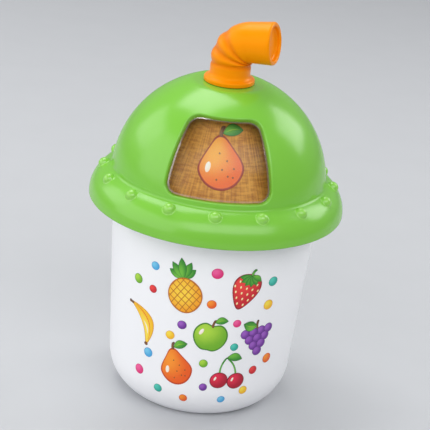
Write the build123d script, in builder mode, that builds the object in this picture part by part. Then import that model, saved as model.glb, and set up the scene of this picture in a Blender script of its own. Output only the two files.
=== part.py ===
from build123d import *

import os
from math import acos, atan2, cos, degrees, radians, sin, sqrt, tan

# A toddler's toy smoothie cup: a milky rounded cup, a green dome lid with a picture window,
# and a ribbed straw on top that turns a drum of pictures behind the window.
# Millimetres and degrees. +Z is up, the window faces -Y, the origin is under the cup on the floor.

os.makedirs("parts", exist_ok=True)

# Clearances shared by all pieces
fit_gap = 0.15
run_gap = 0.4
thrust_gap = 0.15
bearing_gap = 0.05
glue_gap = 0.05

# Screws, all of one size
screw_r = 1.25
screw_head_r = 2.4
screw_head_h = 1.2
screw_slot_w = 0.7
screw_slot_depth = 0.6
screw_grip = 4.4
boss_wall = 1.6

# Cup
foot_ring_w = 2.4
foot_round = 0.8
bowl_r = 20.5
bowl_slope = 30.0
cup_draft = 3.5
cup_wall = 2.2
cup_floor_t = 2.0
mouth_z = 91.0
mouth_round = 0.5
snap_count = 6
snap_w = 8.0
snap_h = 1.6
snap_bite = 0.7
snap_drop = 2.6

# Base cover
cover_recess = 0.6
cover_t = 2.8
cover_margin = 0.3
base_screw_x = 17.0
base_screw_gap = 1.25

# Battery cells and their box
cell_r = 5.25
cell_len = 44.5
cell_pitch = 10.8
cell_nub_r = 1.9
cell_nub_h = 0.8
cell_gap = 0.35
contact_room = 1.6
contact_t = 0.5
contact_w = 7.0
contact_dimple_r = 2.4
box_wall = 1.4
box_corner_r = 3.0

# Battery door
door_t = 1.2
door_ledge = 1.2
door_room = 0.3
door_swing_gap = 0.25
door_tab_x = 12.0
door_tab_w = 5.0
door_tab_t = 1.0
door_tab_reach = 1.3
tongue_r = 4.2
door_screw_gap = 4.05
door_screw_bite = 3.0
door_screw_play = 0.65
door_boss_wall = 0.7
door_boss_h = 4.4

# Power switch
switch_gap = 3.1
switch_travel = 4.0
knob_len = 4.0
knob_w = 3.6
knob_rib_count = 3
knob_rib_w = 0.6
knob_rib_pitch = 1.3
knob_rib_depth = 0.4
slider_t = 0.9
slider_lap = 1.2
slider_stem = 1.6
slider_stem_h = 1.6
switch_body_w = 7.0
switch_body_h = 4.2
switch_post_r = 1.5
switch_post_gap = 0.4

# Main board
board_r = 28.0
board_t = 1.6
board_lift = 3.2
board_screw_inset = 5.85
board_screw_edge = 3.0
chip_r = 5.0
chip_h = 1.8
chip_round = 1.2
chip_x = 2.0
chip_y = -1.0
capacitor_r = 2.5
capacitor_h = 7.0
capacitor_inset = 7.5
capacitor_y = -11.0
speaker_plug_y = 14.0
speaker_plug_len = 6.0
speaker_plug_w = 4.0
encoder_plug_inset = 1.0
encoder_plug_len = 7.0
plug_h = 4.0
led_count = 3
led_inset = 4.0
led_r = 2.5
led_flange_r = 2.9
led_flange_h = 1.0
led_stem_h = 5.0

# Speaker on the back wall of the cup
speaker_z = 50.0
speaker_r = 18.0
speaker_inset = 9.06
speaker_flange_t = 1.6
speaker_basket_r = 15.6
speaker_back_r = 11.0
speaker_basket_h = 6.0
speaker_basket_wall = 1.2
speaker_cone_t = 0.6
speaker_cap_r = 5.0
magnet_r = 10.0
magnet_h = 5.0
terminal_w = 8.0
terminal_t = 2.0
terminal_drop = 16.0
seat_wall = 2.0
seat_lip = 1.4
clamp_t = 1.6
clamp_margin = 2.6
speaker_screw_count = 3
sound_hole_r = 0.9
sound_hole_pitch = 4.6
sound_ring_count = 3
sound_ring_step = 6

# Lid: rim, dome and bumps
rim_overhang = 10.23
rim_drop = 1.5
rim_roll_r = 13.2
rim_wall = 2.4
rim_lip_drop = 1.3
rim_lip_round = 1.0
shoulder_w = 8.7
dome_rise = 7.9
dome_wall = 2.6
crease_round = 1.2
bump_count = 16
bump_r = 2.5
bump_sink = 0.4
bump_inset = 5.5
deck_screw_count = 4

# Window
window_half_angle = 29.2
window_low_angle = 7.2
window_high_angle = 52.0
window_corner_r = 5.2
window_round = 0.5
lens_recess = 1.1
lens_flange_w = 2.2
lens_flange_t = 1.6

# Straw seat and top bush
seat_depth = 2.78
seat_round = 6.0
top_boss_r = 13.0
top_boss_h = 3.5
bush_wall = 2.0
bush_flange_w = 2.5
bush_flange_t = 1.2

# Straw
straw_azimuth = -18.5
straw_collar_r = 10.8
straw_collar_h = 1.6
straw_collar_round = 1.4
straw_flare_r = 2.4
straw_r = 8.6
straw_rise = 8.9
bend_inner_r = 1.07
bend_angle = 82.3
rib_count = 2
rib_angle = 22.5
rib_crest = 0.3
rib_groove = 0.35
rib_flat_share = 0.3
straw_end_len = 9.95
straw_end_r = 9.2
straw_end_round = 1.4
straw_mouth_r = 6.3
straw_mouth_depth = 3.0
spigot_r = 6.0
key_r = 4.8
key_len = 8.0
key_sides = 6

# Picture drum and its band
picture_lap_low = 1.7
picture_gap_low = 0.94
picture_lap_high = 0.5
picture_gap_high = 1.82
band_t = 0.4
drum_wall = 2.2
drum_top_t = 2.0
hub_r = 8.2
hub_bore_r = 5.0
hub_web_t = 2.0
carrier_r = 20.0
carrier_t = 1.6
journal_r = 6.0
journal_bore_r = 3.6
journal_drop = 6.8
journal_flat = 0.9
clip_t = 0.7
clip_bite = 0.6
clip_w = 2.6
clip_gap_w = 7.0

# Deck under the drum, with its bush and position encoder
deck_t = 2.2
deck_gap = 0.4
skirt_h = 5.0
skirt_t = 1.8
bush_rise = 4.65
deck_bush_wall = 2.4
deck_bush_flange_w = 1.2
encoder_in_r = 10.4
encoder_out_r = 25.0
encoder_t = 1.6
encoder_screw_count = 3
encoder_screw_inset = 2.7
wiper_in_r = 12.0
wiper_out_r = 18.5
wiper_t = 0.4
wiper_finger_count = 3
wiper_finger_w = 2.0
wiper_finger_lean = 2.5
wiper_gap = 0.1

# Detent wheel and leaf spring
wheel_r = 12.0
wheel_h = 4.0
wheel_drop = 0.8
notch_count = 6
notch_depth = 1.0
nose_r = 2.2
nose_gap = 0.3
leaf_t = 0.4
leaf_h = 3.0
leaf_reach = 14.0
leaf_foot = 6.0
leaf_tail = 4.0
leaf_post_t = 4.0

# Leads
lead_r = 0.6
lead_pitch = 2.2
lead_bow = 4.0
lead_rise = 12.0


def wall_r(z):
    """Outer radius of the cup's straight wall at height z."""
    return bowl_end_r + (z - bowl_end_z) * tan(radians(cup_draft))


def wall_in_r(z):
    """Inner radius of the cup's straight wall at height z."""
    return wall_r(z) - cup_wall / cos(radians(cup_draft))


# Worked-out levels and radii: screws, cells and their box
UP = (Align.CENTER, Align.CENTER, Align.MIN)
DOWN = (Align.CENTER, Align.CENTER, Align.MAX)

screw_bore_r = screw_r + bearing_gap
screw_hole_r = screw_r + fit_gap
head_pocket_r = screw_head_r + fit_gap
boss_r = screw_r + boss_wall

cover_top = cover_recess + cover_t
cup_floor_z = cover_top + cup_floor_t

cells_w = cell_pitch + 2 * cell_r
cell_ys = (cell_pitch / 2, -cell_pitch / 2)
box_in_len = cell_len + 2 * contact_room
box_in_w = cells_w + 2 * cell_gap
box_len = box_in_len + 2 * box_wall
box_w = box_in_w + 2 * box_wall
cell_z = cover_top + cell_gap + cell_r
box_in_top = cell_z + cell_r + cell_gap
box_top = box_in_top + box_wall
board_z = box_top + board_lift
board_top = board_z + board_t
board_screw_x = box_in_len / 2 - board_screw_inset
board_screw_y = box_in_w / 2 - board_screw_edge
capacitor_x = board_screw_x - capacitor_inset
encoder_plug_x = encoder_plug_inset - board_screw_x
led_reach = board_screw_x - led_inset

# Door and switch
opening_len = cell_len + 2 * door_room
opening_w = cells_w + 2 * door_room
door_len = opening_len + 2 * door_ledge
door_w = opening_w + 2 * door_ledge
door_plate_top = cover_recess + door_t
door_web_top = cover_top - thrust_gap
door_seat_z = cover_recess + fit_gap + screw_head_h
door_screw_y = opening_w / 2 + door_screw_gap
door_cup_r = head_pocket_r + door_boss_wall
nut_boss_r = boss_r + door_screw_play

slot_len = knob_len + switch_travel + 2 * run_gap
slot_w = knob_w + 2 * run_gap
slider_len = slot_len + switch_travel
slider_w = slot_w + 2 * slider_lap
slider_z = cover_top + fit_gap
switch_z = slider_z + slider_t + fit_gap
switch_post_x = (slider_len + switch_travel) / 2 + switch_post_r + switch_post_gap
switch_body_len = 2 * (switch_post_x + switch_post_r)
switch_y = box_w / 2 + switch_gap + switch_body_w / 2

# The base is as wide as the box, its screws and the switch need, and the cup grows from it
base_screw_y = box_w / 2 + base_screw_gap + boss_r
box_reach = sqrt((box_len / 2 - box_corner_r) ** 2 + (box_w / 2 - box_corner_r) ** 2) + box_corner_r
screw_reach = sqrt(base_screw_x**2 + base_screw_y**2) + boss_r
switch_reach = sqrt((switch_body_len / 2) ** 2 + (switch_y + switch_body_w / 2) ** 2)
cover_r = max(box_reach, screw_reach, switch_reach) + cover_margin
pocket_r = cover_r + fit_gap
foot_r = pocket_r + foot_ring_w
bowl_c_r = foot_r - bowl_r * sin(radians(bowl_slope))
bowl_c_z = bowl_r * cos(radians(bowl_slope))
bowl_end_r = bowl_c_r + bowl_r * cos(radians(cup_draft))
bowl_end_z = bowl_c_z - bowl_r * sin(radians(cup_draft))

speaker_face_y = wall_in_r(speaker_z) - speaker_inset
speaker_back_y = speaker_face_y - speaker_flange_t
magnet_y = speaker_back_y - speaker_basket_h
speaker_screw_r = speaker_r + fit_gap + seat_wall / 2 + boss_r

# The lid fits the cup's mouth
rim_r = wall_r(mouth_z) + rim_overhang
rim_z = mouth_z - rim_drop
rim_c_r = rim_r - rim_roll_r
rim_core_r = rim_roll_r - rim_wall
lip_z = rim_z - rim_lip_drop
bump_ring_r = rim_r - bump_inset
dome_r = rim_r - shoulder_w
dome_z = mouth_z + dome_rise
dome_in_r = dome_r - dome_wall
dome_top = dome_z + dome_r
deck_top = mouth_z + deck_t
deck_r = rim_c_r + sqrt(rim_core_r**2 - (deck_top - rim_z) ** 2) - deck_gap
deck_screw_ring = deck_r - boss_r

# Window and picture cone follow the dome
window_z_low = dome_z + dome_r * sin(radians(window_low_angle))
window_z_high = dome_z + dome_r * sin(radians(window_high_angle))
lens_out_r = dome_r - lens_recess
lens_in_r = dome_in_r - lens_flange_t
picture_low_z = window_z_low - picture_lap_low
picture_high_z = window_z_high + picture_lap_high
picture_low_r = sqrt(lens_in_r**2 - (picture_low_z - dome_z) ** 2) - picture_gap_low
picture_high_r = sqrt(lens_in_r**2 - (picture_high_z - dome_z) ** 2) - picture_gap_high

# Straw seat, bushes, encoder and detent
straw_seat_z = dome_top - seat_depth
bush_out_r = spigot_r + bearing_gap + bush_wall
top_boss_z = straw_seat_z - top_boss_h
hub_top = top_boss_z - bush_flange_t - thrust_gap
key_low = hub_top - key_len
web_low = key_low - hub_web_t

deck_bush_r = journal_r + bearing_gap + deck_bush_wall
deck_bush_top = deck_top + bush_rise
carrier_z = deck_bush_top + thrust_gap
encoder_top = deck_top + encoder_t
encoder_screw_ring = encoder_out_r - encoder_screw_inset
wheel_top = mouth_z - wheel_drop
wheel_low = wheel_top - wheel_h
clip_top = wheel_low - fit_gap
journal_low = mouth_z - journal_drop
nose_x = wheel_r + nose_r - notch_depth
leaf_low = wheel_low + (wheel_h - leaf_h) / 2
leaf_screw_y = -leaf_reach - leaf_foot / 2
leaf_post_len = leaf_foot + 2 * fit_gap


def picture_r(z):
    """Radius of the picture cone at height z."""
    share = (z - picture_low_z) / (picture_high_z - picture_low_z)
    return picture_low_r + (picture_high_r - picture_low_r) * share


def meridian(azimuth):
    """Upright plane through the Z axis; its x runs outward at the azimuth, its y is up."""
    turn = radians(azimuth)
    return Plane(origin=(0, 0, 0), x_dir=(cos(turn), sin(turn), 0), z_dir=(sin(turn), -cos(turn), 0))


def pan_screw(shank_len):
    """Pan-head screws at the active locations: shank up from the seat, crossed slot in the head."""
    Cylinder(screw_r, shank_len, align=UP)
    Cylinder(screw_head_r, screw_head_h, align=DOWN)
    with Locations((0, 0, -screw_head_h)):
        for turn in (0, 90):
            Box(
                screw_head_r,
                screw_slot_w,
                screw_slot_depth,
                rotation=(0, 0, turn),
                align=UP,
                mode=Mode.SUBTRACT,
            )


def arc_radii(points):
    """Largest corner radii of a lead, where two corners share a middle run and one has an end run."""
    reach_share = 0.45
    runs = [Vector(b) - Vector(a) for a, b in zip(points, points[1:])]
    reach = [reach_share * run.length for run in runs]
    reach[0] *= 2
    reach[-1] *= 2
    return [
        min(reach[i], reach[i + 1]) / tan(radians(runs[i].get_angle(runs[i + 1])) / 2)
        for i in range(len(runs) - 1)
    ]


def lead(points):
    """Round lead along straight runs joined by tangent arcs."""
    radii = arc_radii(points)
    print("lead radii", [round(radius, 1) for radius in radii])
    with BuildPart() as wire:
        with BuildLine() as route:
            FilletPolyline(*points, radius=radii)
        with BuildSketch(Plane(origin=route.line @ 0, z_dir=route.line % 0)):
            Circle(lead_r)
        sweep(path=route.line)
    return wire.part


def cup_form(inset, low_z):
    """The cup's form drawn in by an inset, from a floor level up to the mouth."""
    arc_r = bowl_r - inset
    turn = acos((bowl_c_z - low_z) / arc_r)
    rim_in = inset / cos(radians(cup_draft))
    with BuildPart() as form:
        with BuildSketch(Plane.XZ):
            with BuildLine():
                floor_line = Line((0, low_z), (bowl_c_r + arc_r * sin(turn), low_z))
                bowl = JernArc(
                    start=floor_line @ 1,
                    tangent=(cos(turn), sin(turn)),
                    radius=arc_r,
                    arc_size=90 - cup_draft - degrees(turn),
                )
                Polyline(bowl @ 1, (wall_r(mouth_z) - rim_in, mouth_z), (0, mouth_z), (0, low_z))
            make_face()
        revolve(axis=Axis.Z)
    return form.part


def lid_form(rim_arc_r, dome_arc_r):
    """A dome over a rolled rim: upright lip, rim arc up to the crease, then the dome to the axis."""
    rim_c = Vector(rim_c_r, rim_z)
    dome_c = Vector(0, dome_z)
    gap = (rim_c - dome_c).length
    along = (dome_arc_r**2 - rim_arc_r**2 + gap**2) / (2 * gap)
    step = (rim_c - dome_c) / gap
    crease = dome_c + step * along + Vector(-step.Y, step.X) * sqrt(dome_arc_r**2 - along**2)
    rim_turn = degrees(atan2(crease.Y - rim_z, crease.X - rim_c_r))
    dome_turn = degrees(atan2(crease.Y - dome_z, crease.X))
    lip_r = rim_c_r + rim_arc_r
    with BuildPart() as form:
        with BuildSketch(Plane.XZ) as half:
            with BuildLine():
                CenterArc((rim_c_r, rim_z), rim_arc_r, 0, rim_turn)
                CenterArc((0, dome_z), dome_arc_r, dome_turn, 90 - dome_turn)
                Polyline((0, dome_z + dome_arc_r), (0, lip_z), (lip_r, lip_z), (lip_r, rim_z))
            make_face()
            fillet(half.vertices().sort_by_distance((crease.X, crease.Y))[0], crease_round)
        revolve(axis=Axis.Z)
    return form.part


def window_wedge(margin):
    """Wedge of rays from the dome's centre that fills the window, drawn in by a margin on every side."""
    inset = degrees(margin / dome_in_r)
    half_angle = window_half_angle - inset
    low = tan(radians(window_low_angle + inset))
    high = tan(radians(window_high_angle - inset))
    near = dome_r / 4
    far = dome_r * 5 / 4
    with BuildPart() as wedge:
        with BuildSketch(meridian(-90 - half_angle)):
            with BuildLine():
                lower = Line((near, dome_z + near * low), (far, dome_z + far * low))
                upper = Line((far, dome_z + far * high), (near, dome_z + near * high))
                Line(lower @ 1, upper @ 0)
                Line(upper @ 1, lower @ 0)
            make_face()
        revolve(axis=Axis.Z, revolution_arc=2 * half_angle)
        fillet(wedge.edges().filter_by(GeomType.LINE).filter_by(Axis.Z, reverse=True), window_corner_r)
    return wedge.part


def save(builder, name):
    """Label a finished piece and write its STEP file."""
    builder.part.label = name
    export_step(builder.part, f"parts/{name}.step")


# Cup shell with its floor, bosses, snap pockets, speaker seat and sound holes
speaker_plane = Plane(origin=(0, speaker_back_y, speaker_z), x_dir=(1, 0, 0), z_dir=(0, 1, 0))

with BuildPart() as speaker_seat:
    with BuildSketch(speaker_plane):
        Circle(speaker_r + fit_gap + seat_wall)
        with PolarLocations(speaker_screw_r, speaker_screw_count, start_angle=90):
            Circle(boss_r)
        Circle(speaker_r + fit_gap, mode=Mode.SUBTRACT)
    extrude(amount=foot_r)
    with BuildSketch(speaker_plane.offset(speaker_flange_t)):
        Circle(speaker_r + fit_gap + seat_wall)
        Circle(speaker_r - seat_lip, mode=Mode.SUBTRACT)
    extrude(amount=foot_r)
    add(cup_form(cup_wall / 2, cup_floor_z), mode=Mode.INTERSECT)

with BuildPart() as cup_shell:
    add(cup_form(0, 0))
    fillet(cup_shell.edges().filter_by(GeomType.CIRCLE).sort_by(Axis.Z)[0], foot_round)
    add(cup_form(cup_wall, cup_floor_z), mode=Mode.SUBTRACT)
    fillet(cup_shell.edges().filter_by(GeomType.CIRCLE).group_by(Axis.Z)[-1], mouth_round)
    Cylinder(pocket_r, cover_top, align=UP, mode=Mode.SUBTRACT)
    with Locations((0, 0, cup_floor_z)):
        with GridLocations(2 * base_screw_x, 2 * base_screw_y, 2, 2):
            Cylinder(boss_r, screw_grip - cup_floor_t + boss_wall, align=UP)
    with Locations((0, 0, cover_top)):
        with GridLocations(2 * base_screw_x, 2 * base_screw_y, 2, 2):
            Cylinder(screw_bore_r, screw_grip + fit_gap, align=UP, mode=Mode.SUBTRACT)
    with BuildSketch(Plane.XY.offset(cover_top)):
        RectangleRounded(box_len + 2 * fit_gap, box_w + 2 * fit_gap, box_corner_r)
        with Locations((0, -switch_y / 2)):
            Rectangle(switch_body_len + 2 * run_gap, switch_y + switch_body_w + 2 * run_gap)
        with Locations((0, door_screw_y / 2)):
            Rectangle(2 * (nut_boss_r + run_gap), door_screw_y + 2 * (nut_boss_r + run_gap))
    extrude(amount=cup_floor_t, mode=Mode.SUBTRACT)
    add(speaker_seat.part)
    with Locations(speaker_plane):
        with PolarLocations(speaker_screw_r, speaker_screw_count, start_angle=90):
            Cylinder(screw_bore_r, screw_grip, align=UP, mode=Mode.SUBTRACT)
        Cylinder(sound_hole_r, foot_r, align=UP, mode=Mode.SUBTRACT)
        for ring in range(1, sound_ring_count):
            with PolarLocations(ring * sound_hole_pitch, ring * sound_ring_step):
                Cylinder(sound_hole_r, foot_r, align=UP, mode=Mode.SUBTRACT)
    with Locations((0, 0, mouth_z - snap_drop)):
        with PolarLocations(wall_in_r(mouth_z - snap_drop), snap_count):
            Box(
                2 * (snap_bite + fit_gap),
                snap_w + 2 * fit_gap,
                snap_h + 2 * fit_gap,
                mode=Mode.SUBTRACT,
            )
save(cup_shell, "cup_shell")

# Base cover with the battery box standing on it
with BuildPart() as base_cover:
    with BuildSketch(Plane.XY.offset(cover_recess)):
        Circle(cover_r)
    extrude(amount=cover_t)
    with BuildSketch(Plane.XY.offset(cover_top)):
        RectangleRounded(box_len, box_w, box_corner_r)
    extrude(amount=box_top - cover_top)
    with BuildSketch(Plane.XY.offset(cover_top)):
        RectangleRounded(box_in_len, box_in_w, box_corner_r - box_wall)
    extrude(amount=box_in_top - cover_top, mode=Mode.SUBTRACT)
    with Locations((0, door_screw_y, cover_top + run_gap)):
        Cylinder(nut_boss_r, door_boss_h, align=UP)
        Cylinder(screw_r + door_screw_play, door_boss_h, align=UP, mode=Mode.SUBTRACT)
    with BuildSketch(Plane.XY.offset(cover_recess)):
        RectangleRounded(door_len + 2 * door_swing_gap, door_w + 2 * door_swing_gap, box_corner_r)
        with Locations((0, door_screw_y)):
            Circle(tongue_r + door_swing_gap)
        with Locations((0, door_screw_y / 2)):
            Rectangle(2 * (tongue_r + door_swing_gap), door_screw_y)
    extrude(amount=door_t + glue_gap, mode=Mode.SUBTRACT)
    with BuildSketch(Plane.XY.offset(cover_recess)):
        Rectangle(opening_len, opening_w)
        with Locations((0, door_screw_y)):
            Circle(door_cup_r + run_gap)
        with Locations((0, door_screw_y / 2)):
            Rectangle(2 * (door_cup_r + run_gap), door_screw_y)
    extrude(amount=cover_t, mode=Mode.SUBTRACT)
    with Locations((0, -box_in_w / 2 - box_wall / 2, cover_top)):
        with GridLocations(2 * door_tab_x, 0, 2, 1):
            Box(
                door_tab_w + 2 * run_gap,
                box_wall + 2 * run_gap,
                2 * door_tab_t,
                align=UP,
                mode=Mode.SUBTRACT,
            )
    with Locations((0, -switch_y, cover_recess)):
        Box(slot_len, slot_w, cover_t, align=UP, mode=Mode.SUBTRACT)
    with Locations((0, -switch_y, cover_top)):
        with GridLocations(2 * switch_post_x, 0, 2, 1):
            Cylinder(switch_post_r, switch_z - cover_top, align=UP)
    with Locations((0, 0, cover_recess)):
        with GridLocations(2 * base_screw_x, 2 * base_screw_y, 2, 2):
            Cylinder(head_pocket_r, screw_head_h + fit_gap, align=UP, mode=Mode.SUBTRACT)
            Cylinder(screw_hole_r, cover_t, align=UP, mode=Mode.SUBTRACT)
    with Locations((0, 0, box_top)):
        with GridLocations(2 * board_screw_x, 2 * board_screw_y, 2, 2):
            Cylinder(boss_r, board_lift, align=UP)
            Cylinder(screw_bore_r, board_lift, align=UP, mode=Mode.SUBTRACT)
    with Locations(*[(box_in_len / 2 - contact_t / 2, y, box_in_top) for y in cell_ys]):
        Box(contact_t + 2 * fit_gap, contact_w + 2 * fit_gap, box_wall, align=UP, mode=Mode.SUBTRACT)
save(base_cover, "base_cover")

with BuildPart() as base_screws:
    with Locations((0, 0, cover_recess + fit_gap + screw_head_h)):
        with GridLocations(2 * base_screw_x, 2 * base_screw_y, 2, 2):
            pan_screw(cover_t - fit_gap - screw_head_h + screw_grip)
save(base_screws, "base_screws")

# Battery door with two hook tabs at the front and a screw tongue at the back
with BuildPart() as battery_door:
    with BuildSketch(Plane.XY.offset(cover_recess)):
        RectangleRounded(door_len, door_w, box_corner_r - door_swing_gap)
        with Locations((0, door_screw_y)):
            Circle(tongue_r)
        with Locations((0, door_screw_y / 2)):
            Rectangle(2 * tongue_r, door_screw_y)
    extrude(amount=door_t)
    with BuildSketch(Plane.XY.offset(door_plate_top)):
        Rectangle(opening_len - 2 * door_swing_gap, opening_w - 2 * door_swing_gap)
    extrude(amount=cover_top - door_plate_top)
    with Locations((0, door_screw_y, cover_recess)):
        Cylinder(door_cup_r, door_web_top - cover_recess, align=UP)
        Cylinder(head_pocket_r, door_seat_z - cover_recess, align=UP, mode=Mode.SUBTRACT)
        Cylinder(screw_hole_r, door_web_top - cover_recess, align=UP, mode=Mode.SUBTRACT)
    plug_edge_y = -opening_w / 2 + door_swing_gap
    hook_len = door_tab_reach + door_swing_gap
    with Locations((0, plug_edge_y + door_tab_t / 2, cover_top)):
        with GridLocations(2 * door_tab_x, 0, 2, 1):
            Box(door_tab_w, door_tab_t, run_gap + door_tab_t, align=UP)
    with Locations((0, plug_edge_y - hook_len / 2, cover_top + run_gap)):
        with GridLocations(2 * door_tab_x, 0, 2, 1):
            Box(door_tab_w, hook_len, door_tab_t, align=UP)
save(battery_door, "battery_door")

with BuildPart() as door_screw:
    with Locations((0, door_screw_y, door_seat_z)):
        pan_screw(cover_top + run_gap - door_seat_z + door_screw_bite)
save(door_screw, "door_screw")

# Battery cells, one each way round, and their contacts
with BuildPart() as battery_cells:
    for side in (1, -1):
        cell_plane = Plane(origin=(-side * cell_len / 2, side * cell_pitch / 2, cell_z), z_dir=(side, 0, 0))
        with Locations(cell_plane):
            Cylinder(cell_r, cell_len - cell_nub_h, align=UP)
            Cylinder(cell_nub_r, cell_len, align=UP)
save(battery_cells, "battery_cells")

with BuildPart() as battery_contacts:
    plate_x = box_in_len / 2
    dimple_len = contact_room - glue_gap
    contact_low = cell_z - contact_w / 2
    with Locations(*[(plate_x - contact_t / 2, y, contact_low) for y in cell_ys]):
        Box(contact_t, contact_w, board_z - contact_low, align=UP)
    with Locations((-plate_x + contact_t / 2, 0, contact_low)):
        Box(contact_t, cell_pitch + contact_w, contact_w, align=UP)
    for y in cell_ys:
        for side in (1, -1):
            with Locations(Plane(origin=(side * plate_x, y, cell_z), z_dir=(-side, 0, 0))):
                Cylinder(contact_dimple_r, dimple_len, align=UP)
save(battery_contacts, "battery_contacts")

# Power switch
with BuildPart() as switch_slider:
    knob_x = -switch_travel / 2
    with Locations((knob_x, -switch_y, cover_recess)):
        Box(knob_len, knob_w, slider_z - cover_recess, align=UP)
    with Locations((knob_x, -switch_y, slider_z)):
        Box(slider_len, slider_w, slider_t, align=UP)
    with Locations((knob_x, -switch_y, slider_z + slider_t)):
        Box(slider_stem, slider_stem, slider_stem_h, align=UP)
    with Locations((knob_x, -switch_y, cover_recess)):
        with GridLocations(knob_rib_pitch, 0, knob_rib_count, 1):
            Box(knob_rib_w, knob_w, knob_rib_depth, align=UP, mode=Mode.SUBTRACT)
save(switch_slider, "switch_slider")

with BuildPart() as switch_body:
    with Locations((0, -switch_y, switch_z)):
        Box(switch_body_len, switch_body_w, switch_body_h, align=UP)
        Box(
            slider_stem + switch_travel + 2 * run_gap,
            slider_stem + 2 * run_gap,
            slider_stem_h + run_gap,
            align=UP,
            mode=Mode.SUBTRACT,
        )
    fillet(switch_body.faces().sort_by(Axis.Z)[-1].edges(), switch_post_gap)
save(switch_body, "switch_body")

# Main board with its chip, capacitor, plugs and lamps
with BuildPart() as main_board:
    with BuildSketch(Plane.XY.offset(board_z)):
        Circle(board_r)
        with GridLocations(2 * board_screw_x, 2 * board_screw_y, 2, 2):
            Circle(screw_hole_r, mode=Mode.SUBTRACT)
    extrude(amount=board_t)
save(main_board, "main_board")

with BuildPart() as board_screws:
    with Locations(Plane(origin=(0, 0, board_top), z_dir=(0, 0, -1))):
        with GridLocations(2 * board_screw_x, 2 * board_screw_y, 2, 2):
            pan_screw(board_t + board_lift - fit_gap)
save(board_screws, "board_screws")

with BuildPart() as board_chips:
    with Locations((chip_x, chip_y, board_top)):
        Cylinder(chip_r, chip_h, align=UP)
    fillet(board_chips.faces().sort_by(Axis.Z)[-1].edges(), chip_round)
    with Locations((capacitor_x, capacitor_y, board_top)):
        Cylinder(capacitor_r, capacitor_h, align=UP)
    with Locations((0, speaker_plug_y, board_top)):
        Box(speaker_plug_len, speaker_plug_w, plug_h, align=UP)
    with Locations((encoder_plug_x, 0, board_top)):
        Box(speaker_plug_w, encoder_plug_len, plug_h, align=UP)
save(board_chips, "board_chips")

with BuildPart() as light_leds:
    with Locations((0, 0, board_top)):
        with PolarLocations(led_reach, led_count, start_angle=-90):
            Cylinder(led_flange_r, led_flange_h, align=UP)
            Cylinder(led_r, led_flange_h + led_stem_h, align=UP)
    with Locations((0, 0, board_top + led_flange_h + led_stem_h)):
        with PolarLocations(led_reach, led_count, start_angle=-90):
            Sphere(led_r)
save(light_leds, "light_leds")

# Speaker, held against its seat by a screwed ring
with BuildPart() as speaker_basket:
    with BuildSketch(speaker_plane):
        Circle(speaker_r)
        Circle(speaker_basket_r - speaker_basket_wall, mode=Mode.SUBTRACT)
    extrude(amount=speaker_flange_t)
    back_plane = Plane(origin=(0, magnet_y, speaker_z), x_dir=(1, 0, 0), z_dir=(0, 1, 0))
    with BuildSketch(back_plane):
        Circle(speaker_back_r)
    with BuildSketch(speaker_plane):
        Circle(speaker_basket_r)
    loft(ruled=True)
    with BuildSketch(back_plane.offset(speaker_basket_wall)):
        Circle(speaker_back_r - speaker_basket_wall)
    with BuildSketch(speaker_plane):
        Circle(speaker_basket_r - speaker_basket_wall)
    loft(ruled=True, mode=Mode.SUBTRACT)
    terminal_h = terminal_drop - speaker_back_r + terminal_t
    with Locations((0, magnet_y, speaker_z - terminal_drop)):
        Box(terminal_w, terminal_t, terminal_h, align=(Align.CENTER, Align.MIN, Align.MIN))
    with BuildSketch(back_plane.offset(speaker_basket_wall)):
        Circle(speaker_back_r - speaker_basket_wall)
    extrude(amount=terminal_t, mode=Mode.SUBTRACT)
save(speaker_basket, "speaker_basket")

with BuildPart() as speaker_cone:
    cone_r = speaker_basket_r - speaker_basket_wall - run_gap
    with BuildSketch(speaker_plane.offset(speaker_flange_t)):
        Circle(cone_r)
    with BuildSketch(back_plane.offset(speaker_basket_wall)):
        Circle(speaker_cap_r)
    loft(ruled=True)
    with BuildSketch(speaker_plane.offset(speaker_flange_t)):
        Circle(cone_r - speaker_cone_t)
    with BuildSketch(back_plane.offset(speaker_basket_wall + 2 * speaker_cone_t)):
        Circle(speaker_cap_r)
    loft(ruled=True, mode=Mode.SUBTRACT)
    with BuildSketch(speaker_plane.offset(speaker_flange_t - speaker_cone_t)):
        Circle(speaker_basket_r - speaker_basket_wall - bearing_gap)
        Circle(cone_r - speaker_cone_t, mode=Mode.SUBTRACT)
    extrude(amount=speaker_cone_t)
save(speaker_cone, "speaker_cone")

with BuildPart() as speaker_magnet:
    with Locations(Plane(origin=(0, magnet_y, speaker_z), z_dir=(0, -1, 0))):
        Cylinder(magnet_r, magnet_h, align=UP)
    fillet(speaker_magnet.edges().filter_by(GeomType.CIRCLE), speaker_cone_t)
save(speaker_magnet, "speaker_magnet")

with BuildPart() as speaker_clamp:
    with BuildSketch(speaker_plane.offset(-clamp_t)):
        Circle(speaker_screw_r + clamp_margin)
        Circle(speaker_basket_r + run_gap, mode=Mode.SUBTRACT)
        with PolarLocations(speaker_screw_r, speaker_screw_count, start_angle=90):
            Circle(screw_hole_r, mode=Mode.SUBTRACT)
    extrude(amount=clamp_t)
save(speaker_clamp, "speaker_clamp")

with BuildPart() as speaker_screws:
    with Locations(speaker_plane.offset(-clamp_t)):
        with PolarLocations(speaker_screw_r, speaker_screw_count, start_angle=90):
            pan_screw(clamp_t + screw_grip - fit_gap)
save(speaker_screws, "speaker_screws")


# Lid: a dome over a rolled rim, with a ring of bumps, screw bosses, a straw seat and a window
lid_body = lid_form(rim_roll_r, dome_r)
lid_core = lid_form(rim_core_r, dome_in_r)
window_cutter = window_wedge(0)

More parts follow.
